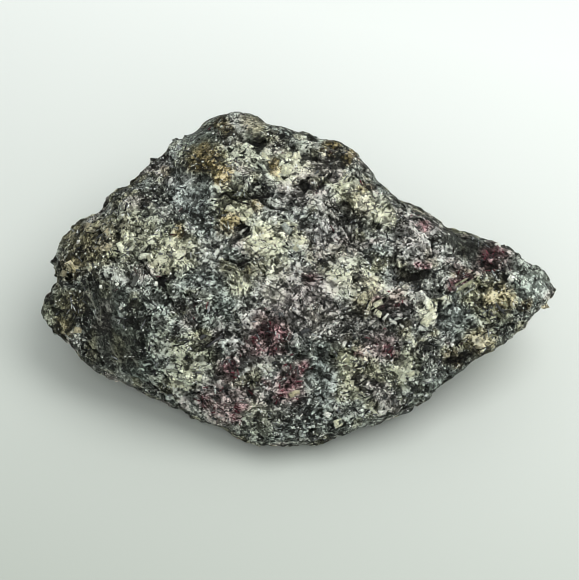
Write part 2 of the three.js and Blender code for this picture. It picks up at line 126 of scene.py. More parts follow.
DARK_PATCHES = [
    (-26.3, -2.7, 4.1, 0.8), (-29.0, -1.8, 1.9, 0.6), (-22.9, -8.1, 3.2, 0.8), (-25.6, 0.7, 2.4, 0.6),
    (-25.6, -10.1, 2.4, 0.6), (-20.9, -4.7, 1.6, 0.6), (24.0, 5.9, 1.8, 0.9), (28.0, 1.8, 1.2, 0.9),
    (2.8, 14.1, 1.2, 0.9), (-1.1, 19.9, 1.1, 0.8), (-8.6, 12.6, 1.2, 0.8), (-4.3, 13.1, 1.4, 0.6),
    (16.6, 2.3, 1.6, 0.6), (6.8, 17.6, 0.9, 0.8), (3.4, 16.9, 0.8, 0.6), (2.1, 2.4, 1.6, 0.5),
    (-7.4, 4.7, 1.1, 0.4), (-17.5, 0.9, 0.8, 0.7), (11.6, 9.2, 0.8, 0.7), (-6.0, 8.4, 0.8, 0.6),
    (-11.4, -1.4, 1.6, 0.3), (5.5, -1.4, 1.1, 0.3), (8.9, -2.7, 1.1, 0.5), (13.6, -1.4, 1.1, 0.5),
    (-29.0, 2.0, 0.5, 0.7), (-18.9, -12.2, 1.9, 0.5), (20.3, 6.8, 1.1, 0.5), (-14.8, -7.4, 1.4, 0.4),
    (-8.0, -6.1, 1.1, 0.4), (0.1, -18.9, 4.1, 0.4), (8.2, -17.6, 3.4, 0.4), (14.9, -14.9, 2.7, 0.4),
    (8.9, 9.7, 1.8, 0.8), (6.1, 11.1, 1.4, 0.7), (-16.4, 12.2, 0.9, 0.7), (2.0, 14.3, 0.7, 1.0),
    (4.3, 14.6, 0.7, 0.9), (5.6, 17.3, 1.1, 0.9), (2.8, 18.4, 0.9, 0.9), (-4.5, 20.3, 1.2, 0.9),
    (1.0, 19.1, 0.8, 0.8), (26.8, 3.8, 1.6, 0.8), (12.2, -1.9, 0.8, 0.9), (20.7, -3.2, 0.8, 0.9),
    (-6.7, 8.4, 0.8, 0.8), (-9.1, 12.7, 0.8, 0.9), (-7.0, 4.1, 1.2, 0.5), (17.0, 1.8, 1.2, 0.8),
    (19.0, -8.1, 1.4, 0.5), (-11.4, -7.7, 0.9, 0.7), (12.9, -5.4, 0.9, 0.5), (8.9, 6.8, 1.6, 0.5),
    (-20.2, 7.4, 1.2, 0.5), (-18.9, -4.3, 0.9, 0.4), (21.9, 7.0, 1.5, 1.0), (24.3, 6.1, 1.7, 1.0),
    (26.7, 5.2, 1.4, 1.0), (-27.8, 6.2, 2.8, 0.5), (-32.2, -1.6, 2.2, 0.5), (-29.0, -3.0, 2.6, 0.4),
    (-18.2, 13.0, 2.8, 0.45), (21.0, -12.0, 3.0, 0.3),
]
SMOOTH_PATCHES = [
    (-24.5, -1.4, 2.7, 0.9), (-24.0, -6.8, 3.2, 1.0), (-21.8, -11.1, 2.4, 0.8), (24.3, 6.1, 2.4, 1.0),
    (-5.3, 22.7, 2.4, 0.8), (-12.4, 20.8, 1.9, 0.8), (-12.8, 13.8, 2.4, 0.6), (22.4, -4.7, 2.3, 0.6),
    (4.1, -11.5, 2.3, 0.6), (-1.7, -0.8, 1.5, 0.9), (23.0, 0.0, 1.4, 0.5), (5.6, 17.3, 0.9, 0.8),
    (-29.0, 7.4, 1.9, 0.4), (-31.3, -3.0, 2.2, 0.5), (17.6, 6.8, 1.4, 0.3),
    (21.9, 7.0, 1.5, 0.9), (26.7, 5.2, 1.4, 0.9), (33.4, 0.8, 2.6, 0.7), (-32.2, -1.6, 2.0, 0.6),
]
OLIVE_PATCHES = [
    (-21.6, 7.4, 4.0, 0.7), (-16.1, 5.4, 3.4, 0.8), (-8.0, 11.5, 3.0, 0.9), (-3.3, 6.8, 2.8, 0.9),
    (-2.0, 3.4, 2.0, 0.8), (-6.7, 1.4, 2.0, 0.7), (-13.4, -9.5, 3.4, 0.7), (8.2, -9.5, 2.7, 0.8),
    (8.9, 1.4, 3.4, 0.4), (27.1, -1.4, 3.4, 0.8), (25.7, -6.8, 2.7, 0.7), (-31.0, -2.7, 2.7, 0.7),
    (-11.4, 17.6, 3.4, 0.9), (8.2, 13.5, 2.0, 0.8), (12.2, 10.1, 2.0, 0.8), (-5.3, 18.9, 2.7, 0.5),
    (15.6, -10.1, 2.4, 0.7), (-4.0, -17.6, 2.7, 0.4), (-21.6, -7.4, 2.7, 0.3), (-28.0, 6.0, 3.0, 0.6),
    (0.5, 16.5, 2.5, 0.6), (18.6, -3.0, 1.6, 0.6),
]
PURPLE_PATCHES = [
    (1.4, -1.4, 5.4, 0.7), (5.5, 6.8, 3.4, 0.7), (17.6, 6.8, 4.0, 0.6), (14.9, -1.4, 3.4, 0.5),
    (-4.7, -6.8, 4.0, 0.7), (7.5, -4.0, 3.4, 0.5), (-9.4, -13.5, 3.4, 0.6), (0.0, -13.5, 3.4, 0.6),
    (1.4, 13.5, 2.7, 0.6), (12.2, -6.8, 2.7, 0.5),
]
GREEN_PATCHES = [
    (-18.9, -4.0, 3.4, 0.7), (-16.8, -0.7, 2.7, 0.6), (-10.0, -2.7, 2.7, 0.6), (32.5, 1.4, 2.7, 0.8),
    (-18.9, -9.5, 3.4, 0.7), (-10.0, -10.0, 2.7, 0.4), (1.4, -10.8, 2.7, 0.4), (19.0, -13.5, 4.0, 0.5),
    (8.2, -17.6, 3.4, 0.4), (-12.0, 21.6, 2.7, 0.5), (22.6, -4.3, 2.7, 0.5), (-26.0, -1.0, 3.0, 0.3),
]

# Hues are colours that the rock's grey is multiplied by. The rock has one of its own and patches of others
# by chance, (hue, size, seed, share left bare)
ROCK_HUE = (0.94, 1.0, 0.88)
HUE_PATCHES = [
    ((1.0, 1.0, 0.66), 2.0, 141, 0.54),
    ((1.03, 0.96, 0.88), 2.6, 145, 0.58),
    ((0.87, 1.0, 0.90), 3.0, 149, 0.56),
]
HUE_FADE = 0.2
# The palest grains keep only this share of the hue
PALEST_HUE_SHARE = 0.6

# The zones: their patches, their spread on the hidden sides, (noise seed, size of a patch, share left
# bare), their hue, its share, and how much brighter or darker they are than the rock between them.
# Where zones overlap, the hue of the later one lies on top.
ZONES = {
    "olive": Zone(OLIVE_PATCHES, (107, 7.0, 0.46), (0.99, 1.0, 0.54), 0.85, 0.0),
    "purple": Zone(PURPLE_PATCHES, (108, 8.0, 0.52), (1.05, 0.945, 0.91), 0.9, 0.0),
    "green": Zone(GREEN_PATCHES, (109, 8.0, 0.5), (0.82, 1.0, 0.86), 0.9, 0.0),
    "cream": Zone(CREAM_PATCHES, (101, 5.0, 0.52), (0.98, 1.0, 0.70), 0.6, 0.28),
    "dark": Zone(DARK_PATCHES, (105, 6.0, 0.55), (0.96, 1.0, 0.80), 0.4, -0.26),
    "cool": Zone(COOL_PATCHES, (103, 7.0, 0.58), (0.85, 1.0, 0.96), 0.7, 0.0),
    "ochre": Zone(OCHRE_PATCHES, (102, 6.0, 0.62), (1.0, 0.77, 0.28), 0.95, -0.13),
    "red": Zone(RED_PATCHES, (104, 6.5, 0.64), (1.0, 0.62, 0.61), 0.8, -0.05),
    "maroon": Zone(MAROON_PATCHES, (110, 2.6, 0.68), (1.0, 0.44, 0.50), 0.85, -0.08),
    "smooth": Zone(SMOOTH_PATCHES, (106, 9.0, 0.58), ROCK_HUE, 0.0, 0.0),
}
# Where a patch fades out, in shares of its radius
PATCH_FADE = (0.6, 1.4)
# The hidden patches' noise, (what their size is divided by, seed shift, weight), and its fade
HIDDEN_LAYERS = [(1, 0, 0.7), (3, 50, 0.3)]
HIDDEN_FADE = 0.16
# Facing towards the display side, from hidden to shown
SHOWN_FADE = (-0.15, 0.2)

# The display side's rim is calmer and darker and nearly clear of grains. The outline is looked up in
# directions around the view's middle, and the rim fades from the first to the second distance inside it.
RIM_SLOTS = 180
RIM_REACH = (0.2, 1.3)
# The dark share is painted shade along the rim as the display side sees it; the smooth share calms it
RIM_SHADE_AND_CALM_STRENGTHS = {"dark": 0.4, "smooth": 0.3}
RIM_CLEARANCE = 1.6
# How far the rim comes and goes, (least share, what the noise adds, size, seed)
RIM_PATCHINESS = (0.6, 0.8, 2.5, 83)
# Raggedness of the patches' edges, (sideways shift, size of the waves, seed)
PATCH_WOBBLES = [(0.5, 1.6, 81), (0.3, 0.6, 84)]

# Cracks and narrow gaps of the display side, (points across and up, half of the width, depth)
# The near black in the cracks is painted shade
CRACKS = [
    ([(-10.3, 12.7), (-8.4, 13.0), (-6.8, 12.2), (-4.3, 12.7), (-2.4, 13.1)], 0.27, 0.7),
    ([(-4.3, 12.7), (-2.5, 11.2), (-0.3, 10.9)], 0.2, 0.6),
    ([(-7.8, 6.8), (-5.6, 8.0)], 0.34, 0.7),
    ([(-20.9, 4.6), (-18.9, 2.4), (-17.2, 0.3), (-14.9, -3.5)], 0.2, 0.6),
    ([(14.9, 1.5), (17.0, 1.8), (19.4, 2.4)], 0.41, 1.0),
    ([(14.3, 4.9), (14.7, 2.4)], 0.2, 0.6),
    ([(19.4, 6.9), (19.5, 4.6)], 0.2, 0.6),
    ([(11.3, -2.6), (12.1, -1.6), (13.2, -1.4)], 0.41, 0.9),
    ([(12.8, -2.8), (12.4, -4.3)], 0.34, 0.8),
    ([(-8.7, 4.3), (-7.0, 3.6), (-5.1, 4.2)], 0.2, 0.5),
    ([(-11.4, -7.8), (-10.5, -6.5), (-9.1, -5.4)], 0.2, 0.5),
    ([(0.2, -3.2), (2.1, -3.9)], 0.2, 0.5),
    ([(-6.6, 20.7), (-4.5, 19.9), (-2.6, 20.3)], 0.41, 1.0),
    ([(0.1, 19.9), (1.0, 18.9), (1.8, 17.8)], 0.41, 0.9),
    ([(2.0, 18.5), (3.6, 18.0)], 0.41, 0.8),
    ([(-27.5, -7.2), (-26.4, -8.5), (-25.5, -9.9)], 0.2, 0.6),
    ([(20.5, -1.4), (20.3, -5.1)], 0.27, 0.5),
    ([(21.7, -9.6), (23.4, -9.3)], 0.27, 0.5),
    ([(7.4, 12.2), (9.0, 10.5), (11.1, 8.6)], 0.2, 0.6),
    ([(5.5, 10.1), (7.5, 8.6), (8.4, 6.8)], 0.2, 0.5),
]
# Thin pale edges that stand up a little, (points across and up, half of the width, height)
PALE_EDGES = [
    ([(-7.6, -2.6), (-7.0, -3.8), (-6.6, -5.0)], 0.16, 0.1),
    ([(-8.3, 2.6), (-6.7, 1.8), (-5.1, 2.0), (-3.6, 2.8)], 0.16, 0.1),
    ([(-7.8, 1.2), (-6.1, 0.5), (-4.4, 0.8)], 0.16, 0.1),
    ([(-27.6, 2.0), (-27.0, -0.3), (-26.3, -2.7)], 0.14, 0.05),
    ([(-24.5, -6.9), (-23.7, -8.5), (-22.9, -10.0)], 0.12, 0.04),
    ([(5.3, -14.6), (8.2, -14.3), (11.0, -13.5)], 0.16, 0.08),
    ([(-28.9, 2.6), (-27.2, 3.1), (-25.5, 3.6)], 0.2, 0.12),
    ([(-28.6, 1.6), (-27.1, -0.8)], 0.2, 0.1),
    ([(-25.9, -1.4), (-25.5, -4.7)], 0.12, 0.04),
    ([(-21.8, -8.1), (-20.2, -11.1)], 0.12, 0.04),
]
# Small pits of the display side, (across, up, radius, depth)
# The near black in the pits is painted shade
PITS = [
    (-17.2, 1.1, 0.7, 0.8), (-29.9, 2.0, 0.5, 0.8), (2.0, 14.3, 0.7, 0.8), (4.3, 14.5, 0.7, 0.7),
    (11.6, 9.2, 0.5, 0.6), (-6.0, 8.4, 0.5, 0.6), (-16.4, 12.2, 0.7, 0.6), (29.1, 1.8, 0.9, 0.7),
    (8.4, 10.0, 0.7, 0.7), (6.8, 7.8, 0.5, 0.6), (-2.9, -3.0, 0.5, 0.6), (14.3, -7.4, 0.5, 0.6),
    (-8.3, -7.4, 0.5, 0.6),
]
# Where they fade out, in shares of their half width or radius
CRACK_FADE = (0.6, 1.3)
PALE_EDGE_FADE = (0.4, 1.2)
PIT_FADE = (0.4, 1.1)
# A pale edge that rises this much is coloured in full
FULL_EDGE_RISE = 0.12
# No grain lies across a crack: this far beyond its edges none has its middle
CLEAR_REACH = 0.3
# Unevenness of the lines, (sideways shift, size of the waves, seed)
LINE_WOBBLE = (0.16, 0.7, 87)

# Crystals that stand out one by one, (across, up, length, width, turn in degrees, kind)
# Crystals of the palest kind stand at glints and paint their highlights as well as pale crystal
LARGE_CRYSTALS = [
    (-1.8, 9.9, 2.03, 0.3, 27, "white_painted_glint"), (-6.7, 8.0, 2.43, 0.32, 28, "white_painted_glint"),
    (1.3, 6.1, 2.16, 1.08, 62, "cream"), (-0.3, 8.2, 1.5, 0.9, -50, "grey"),
    (-2.6, 6.5, 1.35, 0.95, 20, "cream"), (-4.3, 6.8, 1.22, 0.95, 70, "cream"),
    (-18.2, 0.8, 0.81, 0.68, 0, "white_painted_glint"), (14.4, 2.6, 2.03, 0.46, -56, "white_painted_glint"),
    (11.7, -2.0, 1.62, 0.81, 25, "cream"), (12.0, -3.2, 1.08, 0.81, -30, "cream"),
    (30.2, 1.4, 1.22, 0.81, -35, "white_painted_glint"), (28.0, 5.9, 0.95, 0.81, 40, "white_painted_glint"),
    (23.3, 0.3, 3.2, 0.4, 33, "olive"), (23.7, -0.4, 2.6, 0.24, 33, "grey"),
    (22.9, 0.8, 2.8, 0.24, 33, "olive"), (-27.0, 8.4, 1.22, 0.95, 70, "tan"),
    (-28.4, 6.5, 0.68, 0.54, 0, "white_painted_glint"), (-26.0, 5.5, 0.95, 0.68, -40, "tan"),
    (-24.5, 5.8, 1.08, 0.81, 60, "tan"), (-24.7, 7.7, 1.22, 0.81, 50, "tan"),
    (-29.1, 3.1, 1.22, 0.95, 15, "tan"), (-30.5, 2.3, 0.95, 0.68, 60, "tan"),
    (-22.8, -2.3, 0.54, 0.41, 20, "white_painted_glint"), (-22.0, -3.2, 0.54, 0.41, 60, "white_painted_glint"),
    (-25.5, 0.5, 0.47, 0.41, 0, "white_painted_glint"), (-23.2, 0.8, 0.54, 0.41, 30, "white_painted_glint"),
    (6.0, -13.9, 0.68, 0.54, 30, "white_painted_glint"), (6.3, -15.8, 0.68, 0.54, 60, "white_painted_glint"),
    (5.2, -16.9, 0.68, 0.81, 60, "white_painted_glint"), (6.7, -18.0, 1.08, 0.95, 20, "cream"),
    (13.2, -3.5, 1.08, 0.35, 50, "white_painted_glint"), (14.0, -4.3, 1.08, 0.35, -30, "white_painted_glint"),
    (14.8, -3.9, 1.08, 0.35, 20, "white_painted_glint"), (13.7, -5.5, 1.08, 0.35, 60, "white_painted_glint"),
    (15.5, -5.0, 1.22, 0.35, -50, "white_painted_glint"), (0.6, -13.9, 1.3, 0.8, 20, "tan"),
    (7.4, -9.2, 1.76, 1.08, -15, "olive"), (16.3, -11.1, 1.22, 0.95, 40, "cream"),
    (18.2, -4.3, 1.22, 1.08, 60, "cream"), (18.9, -2.6, 1.08, 0.81, 20, "cream"),
    (-5.5, 10.4, 1.22, 0.68, 35, "cream"), (-7.9, 10.9, 0.95, 0.68, -20, "cream"),
    (-6.8, 13.1, 0.68, 0.54, 0, "grey"), (-27.5, -6.4, 0.81, 0.54, 30, "white_painted_glint"),
    (-28.6, -5.5, 0.95, 0.81, 0, "tan"), (-11.6, -6.4, 2.43, 0.41, 34, "steel"),
    (-10.2, -7.0, 2.16, 0.32, 34, "steel"), (2.2, -5.4, 1.22, 0.54, 15, "steel"),
    (7.5, -7.4, 0.81, 0.41, 60, "white_painted_glint"), (-16.1, 6.1, 1.22, 0.81, 30, "cream"),
    (-14.0, 5.4, 1.08, 0.81, -30, "cream"), (11.1, 0.7, 1.08, 0.81, 20, "cream"),
    (10.1, 1.5, 1.08, 0.81, -20, "cream"), (1.0, 17.8, 1.35, 0.95, 40, "cream"),
    (-0.2, 16.2, 1.35, 1.08, -10, "cream"), (-3.2, 18.0, 1.35, 0.68, -40, "cream"),
    (-1.3, 15.1, 1.22, 0.81, 30, "cream"), (28.0, -3.0, 1.76, 0.27, -52, "olive"),
    (28.7, -2.6, 1.76, 0.27, -52, "steel"), (29.4, -2.2, 1.76, 0.27, -52, "olive"),
    (27.4, -3.5, 1.62, 0.27, -52, "steel"), (26.7, -3.9, 1.49, 0.27, -52, "olive"),
]

# The surface lies a little under the solid's faces, because grains stand on it
SURFACE_INSET = 0.14
SOFTENING = 0.5
# Corners lower than this belong to the flat spot that the stone rests on, and stay where they are
FLAT_SPOT_HEIGHT = 0.05
# Fine relief of the stone's surface, (size of a grain, height, seed)
FINE_RELIEF = [(1.6, 0.26, 61), (0.8, 0.2, 67)]
# Grains that have fallen out, (size, share of them, depth of the hole, seed)
LOST_GRAINS = [(1.4, 0.07, 0.5, 131), (0.85, 0.13, 0.4, 137)]
# How much painted shade darkens the holes of the fallen-out grains
LOST_GRAIN_SHADE = 0.8
# Smooth patches have this much less relief, and cream ones this much fewer lost grains
SMOOTH_LOSS = 0.65
CREAM_LOSS = 0.6
# Around cracks, edges and pits the mesh is parted once more, up to this far beyond their edge
DETAIL_REACH = 0.4

# Brightness of the rock from its black gaps to its palest quartz, (tone, linear brightness)
ROCK_TONES = [
    (0.0, 0.008), (0.25, 0.014), (0.34, 0.045), (0.44, 0.11), (0.54, 0.20), (0.62, 0.36), (0.70, 0.58),
    (0.85, 0.84),
]
# The rock's own tone, and how grains of the given size and clouds, (size, seed, weight), vary it
BASE_TONE = 0.545
TONE_GRAIN_SIZE = 1.5
TONE_GRAIN_RANGE = 0.28
TONE_CLOUDS = [(3.2, 155, 1.0), (1.1, 157, 0.6)]
TONE_CLOUD_RANGE = 0.26
TONE_CLOUD_MIDDLE = 0.8
# Smooth patches come this near to a calm tone, (its own value, what the zones add)
CALM_TONE = (0.45, {"dark": -0.15, "cream": 0.2})
CALM_SHARE = 0.75
# Grains are pale from this tone up
PALE_TONE = 0.58
GRAIN_TONE_SPREAD = 0.16

RANDOM_SEED = 20
# Counts of candidate places for the small pieces, and the share of them that is kept, (share, what the
# zones add to it)
GRAIN_CANDIDATES = 36000
GRAIN_SHARE = (0.56, {"smooth": -0.45, "dark": -0.15})
GLINT_CANDIDATES = 11000
GLINT_SHARE = (0.5, {"dark": 0.1, "smooth": -0.6, "maroon": -0.1})
KERMESITE_CANDIDATES = 30000
KERMESITE_SHARE = (0.004, {"red": 0.22, "maroon": 0.3})
BLADE_CANDIDATES = 12000
BLADE_SHARE = (0.4, {"red": 0.3, "dark": 0.2, "cream": -0.2, "smooth": -0.5})

# Sizes of the small crystals, each from the first to the second number
GRAIN_WIDTH = (0.24, 0.8)
CREAM_GRAIN_GROWTH = 0.7
GLINT_WIDTH = (0.12, 0.3)
# Length, breadth and thickness of a grain in shares of its width
GRAIN_SHARES_LOW = [0.9, 0.6, 0.25]
GRAIN_SHARES_HIGH = [1.5, 1.0, 0.5]
NEEDLE_LENGTH = (0.35, 1.0)
NEEDLE_WIDTH = (0.08, 0.18)
NEEDLE_FLATNESS = (0.5, 0.9)
BLADE_LENGTH = (0.4, 1.5)
BLADE_WIDTH = (0.1, 0.24)
BLADE_THICKNESS = (0.05, 0.12)
# How far the crystals' tops or middles stand above the surface
GRAIN_PROUD = (-0.04, 0.07)
GLINT_PROUD = (0.01, 0.07)
LONG_CRYSTAL_PROUD = (-0.05, 0.03)
# How much the corners of a crystal differ from a plain block's, and how far it leans, in radians
GRAIN_RAGGEDNESS = 0.4
LONG_CRYSTAL_RAGGEDNESS = 0.15
LARGE_CRYSTAL_RAGGEDNESS = 0.3
GRAIN_LEAN = 0.4
LONG_CRYSTAL_RISE = 0.08
# Needles and blades lie in loose bundles, (size of a bundle, seed, spread of the angles in it)
BUNDLES = (2.6, 91, 0.45)
# A large crystal's thickness and how deep its middle is sunk, in shares of its width
LARGE_CRYSTAL_THICKNESS = 0.6
LARGE_CRYSTAL_SUNK = 0.12
# Roughness of the crystals' faces, from the glossiest to the dullest
GRAIN_ROUGHNESS = (0.22, 0.6)
GLINT_ROUGHNESS = (0.08, 0.3)
NEEDLE_ROUGHNESS = (0.15, 0.4)
BLADE_ROUGHNESS = (0.12, 0.3)
LARGE_CRYSTAL_ROUGHNESS = 0.3
# Metallic crystals, (share of them, how metallic they are)
GRAIN_METAL = (0.12, 0.8)
NEEDLE_METAL = (0.3, 0.6)
BLADE_METAL = 0.85

# Linear colours of the minerals, and how much one crystal's brightness differs from the next one's
KERMESITE_COLOURS = [(0.12, 0.018, 0.03), (0.16, 0.035, 0.05), (0.045, 0.01, 0.014), (0.11, 0.055, 0.062)]
KERMESITE_SPREAD = 0.35
BLADE_COLOURS = [(0.10, 0.105, 0.11), (0.55, 0.57, 0.56), (0.25, 0.26, 0.27), (0.03, 0.03, 0.033)]
BLADE_SPREAD = 0.3
# The glints' near-white colour is a painted highlight on small pale quartz faces
PAINTED_GLINT_COLOURS = [(0.93, 0.94, 0.92), (0.78, 0.80, 0.75)]
GLINT_SPREAD = 0.12
# Near black of painted shade, for cracks, pits, holes, slits and specks
PAINTED_SHADE_COLOUR = (0.007, 0.007, 0.006)
PALE_EDGE_COLOUR = (0.42, 0.43, 0.34)
# The palest kind is pale crystal whose colour also paints glints
LARGE_CRYSTAL_COLOURS = {
    "white_painted_glint": (0.84, 0.85, 0.78),
    "cream": (0.70, 0.70, 0.52),
    "grey": (0.36, 0.39, 0.35),
    "tan": (0.42, 0.38, 0.25),
    "olive": (0.30, 0.31, 0.20),
    "steel": (0.05, 0.052, 0.055),
}

# Grains and flakes of the materials, (size, slope of their faces), and the size of a flake between slits
COARSE_GRAINS = (1.3, 0.12)
MEDIUM_GRAINS = (0.6, 0.3)
FINE_GRAINS = (0.27, 0.5)
CRYSTAL_GRAINS = (0.24, 0.35)
FLAKE_SIZE = 1.05
# How grains vary the tone, (start, medium grains' weight, fine grains' weight), on rough and smooth rock
ROUGH_TONES = (-0.42, 0.42, 0.46)
SMOOTH_TONES = (-0.2, 0.16, 0.24)
# How dark the painted shade in the slits and the gaps is, how pale the pale edges, and how the rock shines
SLIT_SHADE_SHARE = 0.8
GAP_SHADE_SHARE = 0.92
PALE_EDGE_SHARE = 0.8
ROCK_ROUGHNESS = (0.35, 0.8)
ROCK_SHINE = 0.15
# Bump of the rock: how much less there is on smooth patches, depth of a slit, grit, (size, height)
SMOOTH_BUMP_LOSS = 0.6
SLIT_DEPTH = 0.06
ROCK_GRIT = (0.14, 0.03)
# Looks of the crystals: (speckle, share of painted shade in specks and slits, shine, height of the grit)
CRYSTAL_GRIT_SIZE = 0.1
CRYSTAL_LOOKS = {
    "pale_quartz": (0.38, 0.85, 0.4, 0.02),
    "grey_minerals": (0.65, 0.85, 0.2, 0.02),
    "clear_quartz": (0.08, 0.0, 0.5, 0.005),
    "kermesite": (0.25, 0.2, 0.4, 0.01),
    "stibnite": (0.15, 0.2, 0.5, 0.01),
    "mixed_minerals": (0.25, 0.35, 0.4, 0.03),
}

# The table's slow change of painted shade, from its near left to its far right
TABLE_HALF_WIDTH = 2500.0
TABLE_PAINTED_SHADE_COLOUR = (0.435, 0.47, 0.43)
TABLE_PALE_COLOUR = (0.825, 0.855, 0.845)
TABLE_SHADE_DIRECTION = (0.27, 0.96, 0.0)
TABLE_SHADE_ENDS = (-60.0, 60.0)

# Lights, (name, place in metres, width in metres, power in watts, colour), and the point they shine at
AREA_LIGHTS = [
    ("window_light", (0.16, -0.02, 0.37), 0.32, 0.98, (1.0, 1.0, 0.97)),
    ("front_light", (0.04, -0.40, 0.42), 0.40, 0.6, (1.0, 1.0, 0.98)),
]
LIGHT_AIM = (0, 0, 0.012)
ROOM_COLOUR = (0.96, 1.0, 0.97)
ROOM_STRENGTH = 0.62

CUBE_CORNERS = np.array([
    (-1, -1, -1), (1, -1, -1), (1, 1, -1), (-1, 1, -1),
    (-1, -1, 1), (1, -1, 1), (1, 1, 1), (-1, 1, 1),
], float) / 2
CUBE_FACES = np.array([
    (0, 3, 2, 1), (4, 5, 6, 7), (0, 1, 5, 4), (1, 2, 6, 5), (2, 3, 7, 6), (3, 0, 4, 7),
])


# Repeatable randomness in space

# Large odd numbers that scatter the bits of a cell's place and of a seed
CELL_SCATTER = [np.uint32(number) for number in (374761393, 668265263, 2246822519)]
BIT_SCATTER = [np.uint32(number) for number in (1274126177, 2654435761)]
SEED_SCATTER = 40503


def chance(cells, seed):
    """A repeatable random number from 0 to 1 for each whole-number cell of space."""
    parts = cells.astype(np.int64).astype(np.uint32)
    mixed = parts[..., 0] * CELL_SCATTER[0] ^ parts[..., 1] * CELL_SCATTER[1]
    mixed ^= parts[..., 2] * CELL_SCATTER[2] ^ np.uint32(seed * SEED_SCATTER % 2**32)
    mixed = (mixed ^ (mixed >> np.uint32(13))) * BIT_SCATTER[0]
    mixed = (mixed ^ (mixed >> np.uint32(15))) * BIT_SCATTER[1]
    mixed ^= mixed >> np.uint32(16)
    return mixed.astype(float) / 2**32


def smooth_noise(points, size, seed):
    """Soft noise from 0 to 1 that changes over the given size."""
    scaled = points / size
    cell = np.floor(scaled)
    share = scaled - cell
    share = share * share * (3 - 2 * share)
    total = np.zeros(len(points))
    for step in itertools.product((0, 1), repeat=3):
        weight = np.prod(np.where(np.array(step) == 1, share, 1 - share), axis=1)
        total += weight * chance(cell + step, seed)
    return total


def nearest_grain(points, size, seed):
    """The grain of an irregular packing that each point is in, and the way from its middle."""
    scaled = points / size
    cell = np.floor(scaled)
    nearest = np.full(len(points), np.inf)
    grain = np.zeros_like(points)
    offset = np.zeros_like(points)
    for step in itertools.product((-1, 0, 1), repeat=3):
        own = cell + step
        jitter = np.stack([chance(own, seed + n) for n in (1, 2, 3)], axis=1)
        away = scaled - own - jitter
        distance = np.linalg.norm(away, axis=1)
        closer = distance < nearest
        grain[closer] = own[closer]
        offset[closer] = away[closer]
        nearest[closer] = distance[closer]
    return grain, offset


def chip_height(points, size, seed):
    """Broken relief: each small grain has a level and a tilt of its own."""
    grain, offset = nearest_grain(points, size, seed)
    tilt = np.stack([chance(grain, seed + n) for n in (4, 5, 6)], axis=1) * 2 - 1
    return chance(grain, seed + 7) - 0.5 + (tilt * offset).sum(axis=1)


def smoothstep(value, low, high):
    share = np.clip((value - low) / (high - low), 0, 1)
    return share * share * (3 - 2 * share)


# Zones of the surface

def in_view(points):
    """Across, up and depth of points of space, as the view in front of the display side sees them."""
    offset = points - VIEW_MIDDLE
    depth = offset @ DEPTH_AXIS
    shrink = 1 - depth / VIEW_DISTANCE
    return offset @ ACROSS_AXIS / shrink, offset @ UP_AXIS / shrink, depth


def wobbled_view(points, wobbles):
    """Across and up of points, with the ragged shifts that patches and lines have."""
    across, up, _ = in_view(points)
    for shift, size, seed in wobbles:
        across = across + shift * (2 * smooth_noise(points, size, seed) - 1)
        up = up + shift * (2 * smooth_noise(points, size, seed + 1) - 1)
    return across, up


def shown_zone(across, up, patches):
    """Strength of one kind of patch on the display side."""
    strongest = np.zeros(len(across))
    for patch_across, patch_up, radius, strength in patches:
        distance = np.hypot(across - patch_across, up - patch_up) / radius
        strongest = np.maximum(strongest, strength * (1 - smoothstep(distance, *PATCH_FADE)))
    return strongest


def hidden_zone(points, seed, size, bare):
    """Strength of one kind of patch on the hidden sides."""
    coarse = sum(weight * smooth_noise(points, size / part, seed + n) for part, n, weight in HIDDEN_LAYERS)
    return smoothstep(coarse, bare, bare + HIDDEN_FADE)


def rim_share(points):
    """How near points are to the edge of the display side, from 0 to 1."""
    across, up, _ = in_view(points)
    slots = ((np.arctan2(up, across) / (2 * math.pi) + 0.5) * RIM_SLOTS).astype(int) % RIM_SLOTS
    radius = np.hypot(across, up)
    widest = np.zeros(RIM_SLOTS)
    np.maximum.at(widest, slots, radius)
    least, added, size, seed = RIM_PATCHINESS
    patchy = least + added * smooth_noise(points, size, seed)
    return np.clip(patchy * (1 - smoothstep(widest[slots] - radius, *RIM_REACH)), 0, 1)


def zones(points, normals):
    """Strength from 0 to 1 of each kind of patch at points of the surface."""
    across, up = wobbled_view(points, PATCH_WOBBLES)
    shown = smoothstep(normals @ DEPTH_AXIS, *SHOWN_FADE)
    strengths = {
        name: shown * shown_zone(across, up, zone.patches) + (1 - shown) * hidden_zone(points, *zone.hidden)
        for name, zone in ZONES.items()
    }
    # Painted shade: the rim of the display side is made darker, and calmer
    rim = rim_share(points)
    for name, strength in RIM_SHADE_AND_CALM_STRENGTHS.items():
        strengths[name] = np.maximum(strengths[name], strength * rim)
    return strengths


def with_zones(strengths, start, weights):
    """A start number with the strength of each named zone added by its weight."""
    total = start
    for name, weight in weights.items():
        total = total + weight * strengths[name]
    return total


def rock_tone(points, strengths):
    """How dark or pale the rock is at points, in grains and clouds, with the zones' share."""
    grain, _ = nearest_grain(points, TONE_GRAIN_SIZE, 151)
    cloud = sum(weight * smooth_noise(points, size, seed) for size, seed, weight in TONE_CLOUDS)
    tone = BASE_TONE + TONE_GRAIN_RANGE * (chance(grain, 159) - 0.5)
    tone += TONE_CLOUD_RANGE * (cloud - TONE_CLOUD_MIDDLE)
    for name, zone in ZONES.items():
        tone += zone.tone * strengths[name]
    return tone + CALM_SHARE * strengths["smooth"] * (with_zones(strengths, *CALM_TONE) - tone)


def rock_hue(points, strengths):
    """Slow changes of hue over the rock, by chance and by zone."""
    hue = np.tile(ROCK_HUE, (len(points), 1))
    for colour, size, seed, bare in HUE_PATCHES:
        share = smoothstep(smooth_noise(points, size, seed), bare, bare + HUE_FADE)[:, None]
        hue += share * (np.array(colour) - hue)
    for name, zone in ZONES.items():
        hue += zone.hue_share * strengths[name][:, None] * (np.array(zone.hue) - hue)
    return hue


